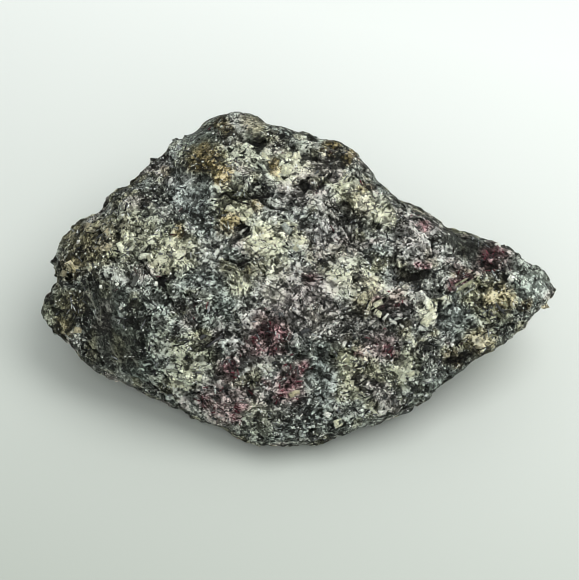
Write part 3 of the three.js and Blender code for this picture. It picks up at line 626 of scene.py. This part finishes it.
# The stone's own surface

def node_triangles(node):
    """Corners and triangles of a CAD node in millimetres, with corners at one place made one."""
    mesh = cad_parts[node].data
    mesh.calc_loop_triangles()
    corners = np.zeros(len(mesh.vertices) * 3)
    mesh.vertices.foreach_get("co", corners)
    triangles = np.zeros(len(mesh.loop_triangles) * 3, int)
    mesh.loop_triangles.foreach_get("vertices", triangles)
    rounded = np.round(corners.reshape(-1, 3) / MM, 3)
    merged, place = np.unique(rounded, axis=0, return_inverse=True)
    return merged, place.ravel()[triangles].reshape(-1, 3)


def parted(corners, triangles, chosen):
    """The chosen triangles parted in four, and their neighbours parted so that no gap opens."""
    edges = np.sort(triangles[:, [0, 1, 1, 2, 2, 0]].reshape(-1, 2), axis=1)
    keys, place = np.unique(edges[:, 0] * len(corners) + edges[:, 1], return_inverse=True)
    place = place.reshape(-1, 3)
    is_split = np.zeros(len(keys), bool)
    is_split[place[chosen]] = True
    middle = len(corners) - 1 + np.cumsum(is_split)
    ends = np.stack([keys[is_split] // len(corners), keys[is_split] % len(corners)], axis=1)
    split_count = is_split[place].sum(axis=1)
    parts = [triangles[split_count == 0]]
    for turn in range(3):
        order = [turn, (turn + 1) % 3, (turn + 2) % 3]
        a, b, c = triangles[:, order].T
        ab, bc, ca = middle[place[:, order]].T
        first_split, second_split, third_split = is_split[place[:, order]].T
        one = (split_count == 1) & first_split
        parts += [np.stack(part, axis=1)[one] for part in ((a, ab, c), (ab, b, c))]
        two = (split_count == 2) & second_split & third_split
        parts += [np.stack(part, axis=1)[two] for part in ((a, b, bc), (a, bc, ca), (bc, c, ca))]
    a, b, c = triangles.T
    ab, bc, ca = middle[place].T
    three = split_count == 3
    quarters = ((a, ab, ca), (ab, b, bc), (ca, bc, c), (ab, bc, ca))
    parts += [np.stack(part, axis=1)[three] for part in quarters]
    return np.concatenate([corners, corners[ends].mean(axis=1)]), np.concatenate(parts)


def softened(corners, triangles, strength):
    """Every corner moved part of the way to the middle of its neighbours."""
    edges = np.concatenate([triangles[:, [0, 1]], triangles[:, [1, 2]], triangles[:, [2, 0]]])
    total = np.zeros_like(corners)
    np.add.at(total, edges[:, 0], corners[edges[:, 1]])
    count = np.bincount(edges[:, 0], minlength=len(corners))[:, None]
    return corners + strength * (total / count - corners)


def face_normals(corners, triangles):
    """Normals of the triangles, each twice as long as its triangle's area."""
    a, b, c = (corners[triangles[:, n]] for n in range(3))
    return np.cross(b - a, c - a)


def corner_normals(corners, triangles):
    """Unit normals at the corners, where large triangles count for more."""
    total = np.zeros_like(corners)
    across_faces = face_normals(corners, triangles)
    for n in range(3):
        np.add.at(total, triangles[:, n], across_faces)
    return total / np.maximum(np.linalg.norm(total, axis=1, keepdims=True), 1e-12)


def held_in_box(points):
    """Points moved just inside the CAD model's box."""
    low, high = (np.array(corner) / MM for corner in CAD_BOX)
    return np.clip(points, low, high)


def distance_to_path(across, up, path):
    """How far points of the view are from a line through the path's points."""
    nearest = np.full(len(across), np.inf)
    for (start_across, start_up), (end_across, end_up) in zip(path, path[1:]):
        run = end_across - start_across
        rise = end_up - start_up
        share = ((across - start_across) * run + (up - start_up) * rise) / (run * run + rise * rise)
        share = np.clip(share, 0, 1)
        distance = np.hypot(across - start_across - share * run, up - start_up - share * rise)
        nearest = np.minimum(nearest, distance)
    return nearest


def near_lines(corners, triangles, reach):
    """Triangles of the display side near a crack, a pale edge or a pit."""
    middles = corners[triangles].mean(axis=1)
    across, up = wobbled_view(middles, [LINE_WOBBLE])
    near = np.zeros(len(triangles), bool)
    for path, half_width, _ in CRACKS + PALE_EDGES:
        near |= distance_to_path(across, up, path) < half_width + reach
    for pit_across, pit_up, radius, _ in PITS:
        near |= np.hypot(across - pit_across, up - pit_up) < radius + reach
    return near & (face_normals(corners, triangles) @ DEPTH_AXIS > 0)


def line_relief(points, normals):
    """Height, painted gap shade, edge strength and clear share that the cracks, pits and pale edges give.
    """
    across, up = wobbled_view(points, [LINE_WOBBLE])
    shown = normals @ DEPTH_AXIS > 0
    height = np.zeros(len(points))
    gap = np.zeros(len(points))
    edge = np.zeros(len(points))
    clear = np.zeros(len(points))
    for path, half_width, depth in CRACKS:
        distance = distance_to_path(across, up, path)
        share = shown * (1 - smoothstep(distance / half_width, *CRACK_FADE))
        height = np.minimum(height, -depth * share)
        gap = np.maximum(gap, share)
        clear = np.maximum(clear, shown * (distance < half_width + CLEAR_REACH))
    for pit_across, pit_up, radius, depth in PITS:
        distance = np.hypot(across - pit_across, up - pit_up) / radius
        share = shown * (1 - smoothstep(distance, *PIT_FADE))
        height = np.minimum(height, -depth * share)
        gap = np.maximum(gap, share)
    for path, half_width, rise in PALE_EDGES:
        distance = distance_to_path(across, up, path)
        share = shown * (1 - smoothstep(distance / half_width, *PALE_EDGE_FADE))
        height += rise * share
        edge = np.maximum(edge, share * min(1, rise / FULL_EDGE_RISE))
    return height, gap, edge, clear


def grain_relief(points, strengths):
    """Height of the small grains, and the painted shade of the holes where some have fallen out."""
    rough = 1 - SMOOTH_LOSS * strengths["smooth"]
    height = np.zeros(len(points))
    for size, rise, seed in FINE_RELIEF:
        height += rise * rough * chip_height(points, size, seed)
    gap = np.zeros(len(points))
    for size, share, depth, seed in LOST_GRAINS:
        grain, _ = nearest_grain(points, size, seed)
        lost = chance(grain, seed + 8) < share * rough * (1 - CREAM_LOSS * strengths["cream"])
        height -= depth * lost
        gap = np.maximum(gap, LOST_GRAIN_SHADE * lost)
    return height, gap


def fine_surface():
    """The stone with its fine broken relief."""
    corners, triangles = node_triangles("stone")
    corners, triangles = parted(corners, triangles, np.ones(len(triangles), bool))
    corners = softened(corners, triangles, SOFTENING)
    corners, triangles = parted(corners, triangles, np.ones(len(triangles), bool))
    corners, triangles = parted(corners, triangles, near_lines(corners, triangles, DETAIL_REACH))
    normals = corner_normals(corners, triangles)
    strengths = zones(corners, normals)
    grain_height, lost_grain_shade = grain_relief(corners, strengths)
    line_height, line_gap_shade, edge, clear = line_relief(corners, normals)
    height = grain_height + line_height - SURFACE_INSET
    height[corners[:, 2] < FLAT_SPOT_HEIGHT] = 0
    corners = held_in_box(corners + normals * height[:, None])
    clear = np.maximum(clear, RIM_CLEARANCE * rim_share(corners))
    return Surface(corners, triangles, np.maximum(lost_grain_shade, line_gap_shade), edge, clear, strengths)


def mesh_object(name, corners, faces):
    """A Blender object from corners in millimetres and faces of equal length."""
    mesh = bpy.data.meshes.new(name)
    size = faces.shape[1]
    mesh.vertices.add(len(corners))
    mesh.vertices.foreach_set("co", (corners * MM).astype(np.float32).ravel())
    mesh.loops.add(faces.size)
    mesh.loops.foreach_set("vertex_index", faces.ravel().astype(np.int32))
    mesh.polygons.add(len(faces))
    mesh.polygons.foreach_set("loop_start", np.arange(0, faces.size, size, dtype=np.int32))
    mesh.update(calc_edges=True)
    mesh.validate()
    piece = bpy.data.objects.new(name, mesh)
    bpy.context.scene.collection.objects.link(piece)
    return piece


def number_attribute(piece, name, values):
    attribute = piece.data.attributes.new(name, "FLOAT", "POINT")
    attribute.data.foreach_set("value", values.astype(np.float32))


def colour_attribute(piece, name, colours):
    attribute = piece.data.attributes.new(name, "FLOAT_COLOR", "POINT")
    with_alpha = np.concatenate([colours, np.ones((len(colours), 1))], axis=1)
    attribute.data.foreach_set("color", with_alpha.astype(np.float32).ravel())


def build_surface(surface):
    piece = mesh_object("stone_surface", surface.corners, surface.triangles)
    number_attribute(piece, "smooth", surface.strengths["smooth"])
    number_attribute(piece, "tone", rock_tone(surface.corners, surface.strengths))
    colour_attribute(piece, "hue", rock_hue(surface.corners, surface.strengths))
    # Painted shade of the cracks, pits and holes
    number_attribute(piece, "gap", surface.gap)
    number_attribute(piece, "edge", surface.edge)
    return piece


# Small crystals set into the surface

def surface_places(rng, surface, count):
    """Random points of the surface, evenly by area, with the normals, free share and zones there."""
    corners, triangles = surface.corners, surface.triangles
    across_faces = face_normals(corners, triangles)
    area = np.linalg.norm(across_faces, axis=1)
    chosen = rng.choice(len(triangles), count, p=area / area.sum())
    first, second = rng.random((2, count, 1))
    flip = first + second > 1
    first = np.where(flip, 1 - first, first)
    second = np.where(flip, 1 - second, second)
    a, b, c = (corners[triangles[chosen, n]] for n in range(3))
    normals = across_faces[chosen] / area[chosen, None]
    taken = np.maximum(surface.gap, surface.clear)[triangles[chosen]].mean(axis=1)
    strengths = {name: values[triangles[chosen]].mean(axis=1) for name, values in surface.strengths.items()}
    return a + first * (b - a) + second * (c - a), normals, 1 - taken, strengths


def scattered(rng, surface, count, share):
    """The candidate places that the zones keep, with the normals and the zones there."""
    places, normals, free, strengths = surface_places(rng, surface, count)
    keep = rng.random(count) < np.clip(with_zones(strengths, *share), 0, 1) * free
    return places[keep], normals[keep], {name: values[keep] for name, values in strengths.items()}


def directions_along(normals):
    """Two directions along the surface at each normal."""
    helper = np.where(np.abs(normals[:, [2]]) < 0.9, [[0.0, 0.0, 1.0]], [[1.0, 0.0, 0.0]])
    side = np.cross(normals, helper)
    side /= np.linalg.norm(side, axis=1, keepdims=True)
    return side, np.cross(normals, side)


def leaning_turns(rng, normals, steepest):
    """Rotation matrices whose third axis leans from the normal by up to the steepest angle."""
    side, ahead = directions_along(normals)
    spin = rng.uniform(0, 2 * math.pi, (len(normals), 1))
    lean = rng.uniform(0, steepest, (len(normals), 1))
    away = np.cos(spin) * side + np.sin(spin) * ahead
    third = np.cos(lean) * normals + np.sin(lean) * away
    first = np.cos(lean) * away - np.sin(lean) * normals
    return np.stack([first, np.cross(third, first), third], axis=2)


def lying_turns(rng, points, normals):
    """Rotation matrices whose first axis lies along the surface, in loose bundles, rising a little."""
    count = len(points)
    side, ahead = directions_along(normals)
    size, seed, spread = BUNDLES
    angle = 4 * math.pi * smooth_noise(points, size, seed) + rng.normal(0, spread, count)
    rise = rng.uniform(-0.1, 1, count) * LONG_CRYSTAL_RISE
    flat = np.cos(angle)[:, None] * side + np.sin(angle)[:, None] * ahead
    long_axis = np.cos(rise)[:, None] * flat + np.sin(rise)[:, None] * normals
    broad_axis = np.cross(normals, long_axis)
    broad_axis /= np.linalg.norm(broad_axis, axis=1, keepdims=True)
    return np.stack([long_axis, broad_axis, np.cross(long_axis, broad_axis)], axis=2)


def crystal_corners(rng, places, turns, sizes, raggedness):
    """Eight corners for every crystal, each with broken proportions of its own."""
    corners = CUBE_CORNERS[None] * (1 + raggedness * rng.uniform(-1, 1, (len(places), 8, 3)))
    return np.einsum("nij,nkj->nki", turns, corners * sizes[:, None, :]) + places[:, None, :]


def crystals_object(name, corners, colours, roughness, metal):
    """One piece of many crystals; each has one colour, one roughness and one metalness."""
    count = len(corners)
    faces = (np.arange(count)[:, None, None] * 8 + CUBE_FACES[None]).reshape(-1, 4)
    piece = mesh_object(name, held_in_box(corners.reshape(-1, 3)), faces)
    colour_attribute(piece, "mineral_colour", np.repeat(colours, 8, axis=0))
    number_attribute(piece, "mineral_roughness", np.repeat(roughness, 8))
    number_attribute(piece, "mineral_metal", np.repeat(metal, 8))
    return piece


def pick_colours(rng, palette, count, spread):
    """Colours from a palette, each a little lighter or darker."""
    chosen = np.array(palette)[rng.integers(len(palette), size=count)]
    return chosen * rng.uniform(1 - spread, 1 + spread, (count, 1))


def grain_shapes(rng, places, normals, smallest, largest, proud):
    """Flat broken grains sunk into the surface, so that only their tops stand proud of it."""
    count = len(places)
    width = smallest + (largest - smallest) * rng.random((count, 1)) ** 2
    sizes = width * rng.uniform(GRAIN_SHARES_LOW, GRAIN_SHARES_HIGH, (count, 3))
    places = places + normals * (rng.uniform(*proud, (count, 1)) - sizes[:, [2]] / 2)
    return crystal_corners(rng, places, leaning_turns(rng, normals, GRAIN_LEAN), sizes, GRAIN_RAGGEDNESS)


def long_shapes(rng, places, normals, sizes):
    """Long thin crystals that lie along the surface in loose bundles."""
    places = places + normals * rng.uniform(*LONG_CRYSTAL_PROUD, (len(places), 1))
    return crystal_corners(rng, places, lying_turns(rng, places, normals), sizes, LONG_CRYSTAL_RAGGEDNESS)


def build_grains(rng, surface):
    """The rock's pale grains and its grey and dark ones, as two pieces."""
    places, normals, strengths = scattered(rng, surface, GRAIN_CANDIDATES, GRAIN_SHARE)
    count = len(places)
    largest = GRAIN_WIDTH[1] + CREAM_GRAIN_GROWTH * strengths["cream"][:, None]
    shapes = grain_shapes(rng, places, normals, GRAIN_WIDTH[0], largest, GRAIN_PROUD)
    tones = rock_tone(places, strengths) + rng.normal(0, GRAIN_TONE_SPREAD, count)
    brightness = np.interp(tones, *np.transpose(ROCK_TONES))[:, None]
    paleness = 1 - (1 - PALEST_HUE_SHARE) * brightness
    colours = brightness * (1 + paleness * (rock_hue(places, strengths) - 1))
    roughness = rng.uniform(*GRAIN_ROUGHNESS, count)
    metal = GRAIN_METAL[1] * ((tones < PALE_TONE) & (rng.random(count) < GRAIN_METAL[0]))
    pieces = []
    for name, chosen in (("pale_quartz_grains", tones >= PALE_TONE), ("grey_grains", tones < PALE_TONE)):
        kept = (values[chosen] for values in (shapes, colours, roughness, metal))
        pieces.append(crystals_object(name, *kept))
    return pieces


def build_glints(rng, surface):
    """Small clear faces that glitter; their near-white colour is a painted highlight."""
    places, normals, _ = scattered(rng, surface, GLINT_CANDIDATES, GLINT_SHARE)
    count = len(places)
    shapes = grain_shapes(rng, places, normals, *GLINT_WIDTH, GLINT_PROUD)
    colours = pick_colours(rng, PAINTED_GLINT_COLOURS, count, GLINT_SPREAD)
    roughness = rng.uniform(*GLINT_ROUGHNESS, count)
    return crystals_object("clear_quartz_glints", shapes, colours, roughness, np.zeros(count))


def build_kermesite_needles(rng, surface):
    """Dark red needles, most of them in the red and maroon patches."""
    places, normals, _ = scattered(rng, surface, KERMESITE_CANDIDATES, KERMESITE_SHARE)
    count = len(places)
    width = rng.uniform(*NEEDLE_WIDTH, count)
    length = rng.uniform(*NEEDLE_LENGTH, count)
    sizes = np.stack([length, width, width * rng.uniform(*NEEDLE_FLATNESS, count)], axis=1)
    shapes = long_shapes(rng, places, normals, sizes)
    colours = pick_colours(rng, KERMESITE_COLOURS, count, KERMESITE_SPREAD)
    metal = NEEDLE_METAL[1] * (rng.random(count) < NEEDLE_METAL[0])
    roughness = rng.uniform(*NEEDLE_ROUGHNESS, count)
    return crystals_object("kermesite_needles", shapes, colours, roughness, metal)


def build_blades(rng, surface):
    """Thin metallic blades."""
    places, normals, _ = scattered(rng, surface, BLADE_CANDIDATES, BLADE_SHARE)
    count = len(places)
    ranges = (BLADE_LENGTH, BLADE_WIDTH, BLADE_THICKNESS)
    sizes = np.stack([rng.uniform(*ends, count) for ends in ranges], axis=1)
    shapes = long_shapes(rng, places, normals, sizes)
    colours = pick_colours(rng, BLADE_COLOURS, count, BLADE_SPREAD)
    roughness = rng.uniform(*BLADE_ROUGHNESS, count)
    return crystals_object("steel_grey_blades", shapes, colours, roughness, np.full(count, BLADE_METAL))


def build_large_crystals(rng, surface):
    """The crystals that stand out one by one, each at its place of the display side."""
    normals = corner_normals(surface.corners, surface.triangles)
    shown = np.flatnonzero(normals @ DEPTH_AXIS > 0.1)
    across, up, _ = in_view(surface.corners[shown])
    places, turns, sizes, colours = [], [], [], []
    for crystal_across, crystal_up, length, width, turn, kind in LARGE_CRYSTALS:
        corner = shown[np.argmin(np.hypot(across - crystal_across, up - crystal_up))]
        normal = normals[corner] * 0.5 + DEPTH_AXIS * 0.5
        normal /= np.linalg.norm(normal)
        ahead = math.cos(math.radians(turn)) * ACROSS_AXIS + math.sin(math.radians(turn)) * UP_AXIS
        long_axis = ahead - normal * (ahead @ normal)
        long_axis /= np.linalg.norm(long_axis)
        turns.append(np.stack([long_axis, np.cross(normal, long_axis), normal], axis=1))
        sizes.append((length, width, LARGE_CRYSTAL_THICKNESS * width))
        places.append(surface.corners[corner] - normal * LARGE_CRYSTAL_SUNK * width)
        colours.append(LARGE_CRYSTAL_COLOURS[kind])
    turns = np.array(turns)
    shapes = crystal_corners(rng, np.array(places), turns, np.array(sizes), LARGE_CRYSTAL_RAGGEDNESS)
    roughness = np.full(len(places), LARGE_CRYSTAL_ROUGHNESS)
    return crystals_object("large_crystals", shapes, np.array(colours), roughness, np.zeros(len(places)))


# Materials

class NodeSheet:
    """Short names for adding and joining the nodes of one material."""

    def __init__(self, name):
        self.material = bpy.data.materials.new(name)
        self.material.use_nodes = True
        self.nodes = self.material.node_tree.nodes
        self.links = self.material.node_tree.links
        self.shader = self.nodes["Principled BSDF"]

    def add(self, kind, **settings):
        node = self.nodes.new(kind)
        for name, value in settings.items():
            setattr(node, name, value)
        return node

    def put(self, socket, value):
        """Joins a socket to another one, or gives it a plain value."""
        if isinstance(value, bpy.types.NodeSocket):
            self.links.new(value, socket)
        else:
            socket.default_value = value

    def sum_of(self, operation, first, second):
        node = self.add("ShaderNodeMath", operation=operation)
        self.put(node.inputs[0], first)
        self.put(node.inputs[1], second)
        return node.outputs[0]

    def weighted(self, start, *weights_and_values):
        """A start number with each value added by its weight."""
        total = start
        for weight, value in weights_and_values:
            total = self.sum_of("ADD", total, self.sum_of("MULTIPLY", value, weight))
        return total

    def vector_of(self, operation, first, second):
        node = self.add("ShaderNodeVectorMath", operation=operation)
        self.put(node.inputs[0], first)
        self.put(node.inputs[1], second)
        return node.outputs["Value" if operation == "DOT_PRODUCT" else "Vector"]

    def scaled(self, vector, factor):
        node = self.add("ShaderNodeVectorMath", operation="SCALE")
        self.put(node.inputs[0], vector)
        node.inputs["Scale"].default_value = factor
        return node.outputs["Vector"]

    def mixed(self, share, first, second, blend="MIX"):
        node = self.add("ShaderNodeMix", data_type="RGBA", blend_type=blend)
        self.put(node.inputs["Factor"], share)
        self.put(node.inputs[6], first)
        self.put(node.inputs[7], second)
        return node.outputs[2]

    def ranged(self, value, low, high, to_low=0.0, to_high=1.0):
        node = self.add("ShaderNodeMapRange")
        self.put(node.inputs["Value"], value)
        node.inputs["From Min"].default_value = low
        node.inputs["From Max"].default_value = high
        node.inputs["To Min"].default_value = to_low
        node.inputs["To Max"].default_value = to_high
        return node.outputs[0]

    def ramp(self, value, stops):
        """Colours that follow one another as the value rises."""
        node = self.add("ShaderNodeValToRGB")
        elements = node.color_ramp.elements
        elements.remove(elements[1])
        elements[0].position = stops[0][0]
        elements[0].color = opaque(stops[0][1])
        for place, colour in stops[1:]:
            elements.new(place).color = opaque(colour)
        self.put(node.inputs["Fac"], value)
        return node.outputs["Color"]

    def attribute(self, name):
        return self.add("ShaderNodeAttribute", attribute_name=name)

    def place(self):
        return self.add("ShaderNodeTexCoord").outputs["Object"]

    def noise(self, size, detail, output="Fac"):
        """Soft noise of a size, as a number or, from the output Color, as three of them."""
        node = self.add("ShaderNodeTexNoise")
        node.inputs["Scale"].default_value = 1 / (size * MM)
        node.inputs["Detail"].default_value = detail
        self.put(node.inputs["Vector"], self.place())
        return node.outputs[output]

    def warped_place(self, size, shift):
        """The place shifted by soft noise, which bends the grains' straight edges."""
        centred = self.vector_of("SUBTRACT", self.noise(size, 1, "Color"), (0.5, 0.5, 0.5))
        return self.vector_of("ADD", self.place(), self.scaled(centred, 2 * shift * MM))

    def grains(self, size, slope):
        """Grains of a size, each with two random numbers and a flat tilted face of its own."""
        place = self.warped_place(size, 0.5 * size)
        cells = self.add("ShaderNodeTexVoronoi")
        cells.inputs["Scale"].default_value = 1 / (size * MM)
        self.put(cells.inputs["Vector"], place)
        own = self.add("ShaderNodeSeparateColor")
        self.put(own.inputs[0], cells.outputs["Color"])
        offset = self.vector_of("SUBTRACT", place, cells.outputs["Position"])
        tilt = self.vector_of("SUBTRACT", cells.outputs["Color"], (0.5, 0.5, 0.5))
        facet = self.sum_of("MULTIPLY", self.vector_of("DOT_PRODUCT", tilt, offset), 2 * slope)
        return Grains(*own.outputs[:2], facet)

    def shaded_slits(self, size):
        """Thin gaps along some of the borders between flakes, from 0 to 1, which the materials darken with
        painted shade.
        """
        cells = self.add("ShaderNodeTexVoronoi", feature="DISTANCE_TO_EDGE")
        cells.inputs["Scale"].default_value = 1 / (size * MM)
        self.put(cells.inputs["Vector"], self.warped_place(size, 0.3 * size))
        width = self.ranged(self.noise(1.6 * size, 1), 0.45, 0.7, -0.05, 0.13)
        inside = self.sum_of("SUBTRACT", cells.outputs["Distance"], width)
        return self.ranged(inside, -0.015, 0.015, 1.0, 0.0)

    def bump(self, height):
        """Bump by a height in metres."""
        node = self.add("ShaderNodeBump")
        node.inputs["Strength"].default_value = 1.0
        node.inputs["Distance"].default_value = 1.0
        self.put(node.inputs["Height"], height)
        self.put(self.shader.inputs["Normal"], node.outputs["Normal"])


def opaque(colour):
    return (*colour, 1.0)


def grain_tones(sheet, medium, fine, start, medium_weight, fine_weight):
    return sheet.weighted(start, (medium_weight, medium.first), (fine_weight, fine.first))


def rock_colour(sheet, medium, fine):
    """Pale, grey and dark grains around the tone and the hue that the surface has there."""
    wide = grain_tones(sheet, medium, fine, *ROUGH_TONES)
    calm = grain_tones(sheet, medium, fine, *SMOOTH_TONES)
    smooth = sheet.attribute("smooth").outputs["Fac"]
    spread = sheet.weighted(wide, (smooth, sheet.sum_of("SUBTRACT", calm, wide)))
    tone = sheet.sum_of("ADD", sheet.attribute("tone").outputs["Fac"], spread)
    stops = [(place, (brightness,) * 3) for place, brightness in ROCK_TONES]
    grey = sheet.ramp(tone, stops)
    hue_share = sheet.ranged(tone, 0.5, 0.85, 1.0, PALEST_HUE_SHARE)
    return sheet.mixed(hue_share, grey, sheet.attribute("hue").outputs["Color"], blend="MULTIPLY")


def surface_material():
    """Grey rock of fine grains, each pale, grey or dark, tinted as its zone is, with painted shade in its
    slits, cracks, pits and holes.
    """
    sheet = NodeSheet("rock_of_fine_grains")
    coarse = sheet.grains(*COARSE_GRAINS)
    medium = sheet.grains(*MEDIUM_GRAINS)
    fine = sheet.grains(*FINE_GRAINS)
    shaded_slits = sheet.shaded_slits(FLAKE_SIZE)
    colour = rock_colour(sheet, medium, fine)
    # Painted shade: the slits are mixed towards near black
    colour = sheet.mixed(sheet.sum_of("MULTIPLY", shaded_slits, SLIT_SHADE_SHARE), colour, opaque(PAINTED_SHADE_COLOUR))
    edge = sheet.sum_of("MULTIPLY", sheet.attribute("edge").outputs["Fac"], PALE_EDGE_SHARE)
    colour = sheet.mixed(edge, colour, opaque(PALE_EDGE_COLOUR))
    # Painted shade: cracks, pits and holes are mixed towards near black
    gap = sheet.sum_of("MULTIPLY", sheet.attribute("gap").outputs["Fac"], GAP_SHADE_SHARE)
    colour = sheet.mixed(gap, colour, opaque(PAINTED_SHADE_COLOUR))
    sheet.put(sheet.shader.inputs["Base Color"], colour)
    sheet.put(sheet.shader.inputs["Roughness"], sheet.ranged(fine.first, 0.0, 1.0, *ROCK_ROUGHNESS))
    sheet.shader.inputs["Specular IOR Level"].default_value = ROCK_SHINE
    rough = sheet.weighted(1.0, (-SMOOTH_BUMP_LOSS, sheet.attribute("smooth").outputs["Fac"]))
    height = sheet.weighted(coarse.facet, (1.0, medium.facet), (1.0, fine.facet), (-SLIT_DEPTH * MM, shaded_slits))
    grit_size, grit_height = ROCK_GRIT
    height = sheet.sum_of("MULTIPLY", height, rough)
    sheet.bump(sheet.weighted(height, (grit_height * MM, sheet.noise(grit_size, 2))))
    return sheet.material


def crystal_material(name):
    """Small crystals, each in its own colour and gloss, with a fine broken grain, and painted shade in dark
    specks and slits.
    """
    speckle, speck_shade_share, shine, grit_height = CRYSTAL_LOOKS[name]
    sheet = NodeSheet(name)
    chips = sheet.grains(*CRYSTAL_GRAINS)
    own = sheet.attribute("mineral_colour").outputs["Color"]
    mottle = sheet.ranged(chips.first, 0.15, 0.85, 1 - speckle, 1 + speckle)
    own = sheet.mixed(1.0, own, mottle, blend="MULTIPLY")
    specks = sheet.ranged(chips.second, 0.9, 0.92)
    # Painted shade: specks and slits of the crystals are mixed towards near black
    speck_and_slit_shade = sheet.sum_of("MULTIPLY", sheet.sum_of("MAXIMUM", specks, sheet.shaded_slits(FLAKE_SIZE)), speck_shade_share)
    sheet.put(sheet.shader.inputs["Base Color"], sheet.mixed(speck_and_slit_shade, own, opaque(PAINTED_SHADE_COLOUR)))
    grain = sheet.ranged(sheet.noise(0.12, 2), 0.3, 0.7, -0.06, 0.08)
    rough = sheet.sum_of("ADD", sheet.attribute("mineral_roughness").outputs["Fac"], grain)
    sheet.put(sheet.shader.inputs["Roughness"], rough)
    sheet.put(sheet.shader.inputs["Metallic"], sheet.attribute("mineral_metal").outputs["Fac"])
    sheet.shader.inputs["Specular IOR Level"].default_value = shine
    sheet.bump(sheet.weighted(chips.facet, (grit_height * MM, sheet.noise(CRYSTAL_GRIT_SIZE, 2))))
    return sheet.material


def dress(piece, material):
    piece.data.materials.append(material)
    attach(piece, "root")


# Floor, light and camera

def floor_material():
    sheet = NodeSheet("pale_table")
    # Painted shade: the table is dimmer towards its near left
    along = sheet.vector_of("DOT_PRODUCT", sheet.place(), TABLE_SHADE_DIRECTION)
    shade = sheet.ranged(along, *(end * MM for end in TABLE_SHADE_ENDS))
    sheet.put(sheet.shader.inputs["Base Color"],
              sheet.mixed(shade, opaque(TABLE_PAINTED_SHADE_COLOUR), opaque(TABLE_PALE_COLOUR)))
    sheet.shader.inputs["Roughness"].default_value = 0.6
    sheet.bump(sheet.sum_of("MULTIPLY", sheet.noise(0.8, 2), 0.004 * MM))
    return sheet.material


def build_floor():
    corners = TABLE_HALF_WIDTH * np.array([(-1, -1, 0), (1, -1, 0), (1, 1, 0), (-1, 1, 0)])
    floor = mesh_object("floor", corners, np.array([(0, 1, 2, 3)]))
    floor.data.materials.append(floor_material())


def build_area_light(name, place, width, power, colour):
    light = bpy.data.lights.new(name, "AREA")
    light.shape = "DISK"
    light.size = width
    light.energy = power
    light.color = colour
    lamp = bpy.data.objects.new(name, light)
    bpy.context.scene.collection.objects.link(lamp)
    lamp.location = place
    aim = Vector(LIGHT_AIM) - Vector(place)
    lamp.rotation_euler = aim.to_track_quat("-Z", "Y").to_euler()


def build_lights():
    for light in AREA_LIGHTS:
        build_area_light(*light)
    world = bpy.data.worlds.new("pale_room")
    world.use_nodes = True
    background = world.node_tree.nodes["Background"]
    background.inputs["Color"].default_value = opaque(ROOM_COLOUR)
    background.inputs["Strength"].default_value = ROOM_STRENGTH
    bpy.context.scene.world = world


def build_camera():
    camera_data = bpy.data.cameras.new("camera")
    camera_data.sensor_width = SENSOR_SIZE
    camera_data.lens = SENSOR_SIZE * VIEW_DISTANCE / FRAME_HEIGHT
    camera_data.clip_start = 0.01
    camera = bpy.data.objects.new("camera", camera_data)
    bpy.context.scene.collection.objects.link(camera)
    axes = Matrix([ACROSS_AXIS, UP_AXIS, DEPTH_AXIS]).transposed()
    place = (VIEW_MIDDLE + VIEW_DISTANCE * DEPTH_AXIS) * MM
    camera.matrix_world = Matrix.Translation(Vector(place)) @ axes.to_4x4()
    bpy.context.scene.camera = camera


def set_picture_tones():
    bpy.context.scene.cycles.filter_width = PIXEL_BLUR
    settings = bpy.context.scene.view_settings
    settings.view_transform = "Standard"
    settings.look = "None"
    settings.exposure = 0.0


def build_specimen():
    rng = np.random.default_rng(RANDOM_SEED)
    surface = fine_surface()
    stone = build_surface(surface)
    dress(stone, surface_material())
    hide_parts("stone")
    pale_grains, grey_grains = build_grains(rng, surface)
    dress(pale_grains, crystal_material("pale_quartz"))
    dress(grey_grains, crystal_material("grey_minerals"))
    dress(build_glints(rng, surface), crystal_material("clear_quartz"))
    dress(build_kermesite_needles(rng, surface), crystal_material("kermesite"))
    dress(build_blades(rng, surface), crystal_material("stibnite"))
    dress(build_large_crystals(rng, surface), crystal_material("mixed_minerals"))


build_camera()
build_lights()
build_floor()
set_picture_tones()
build_specimen()
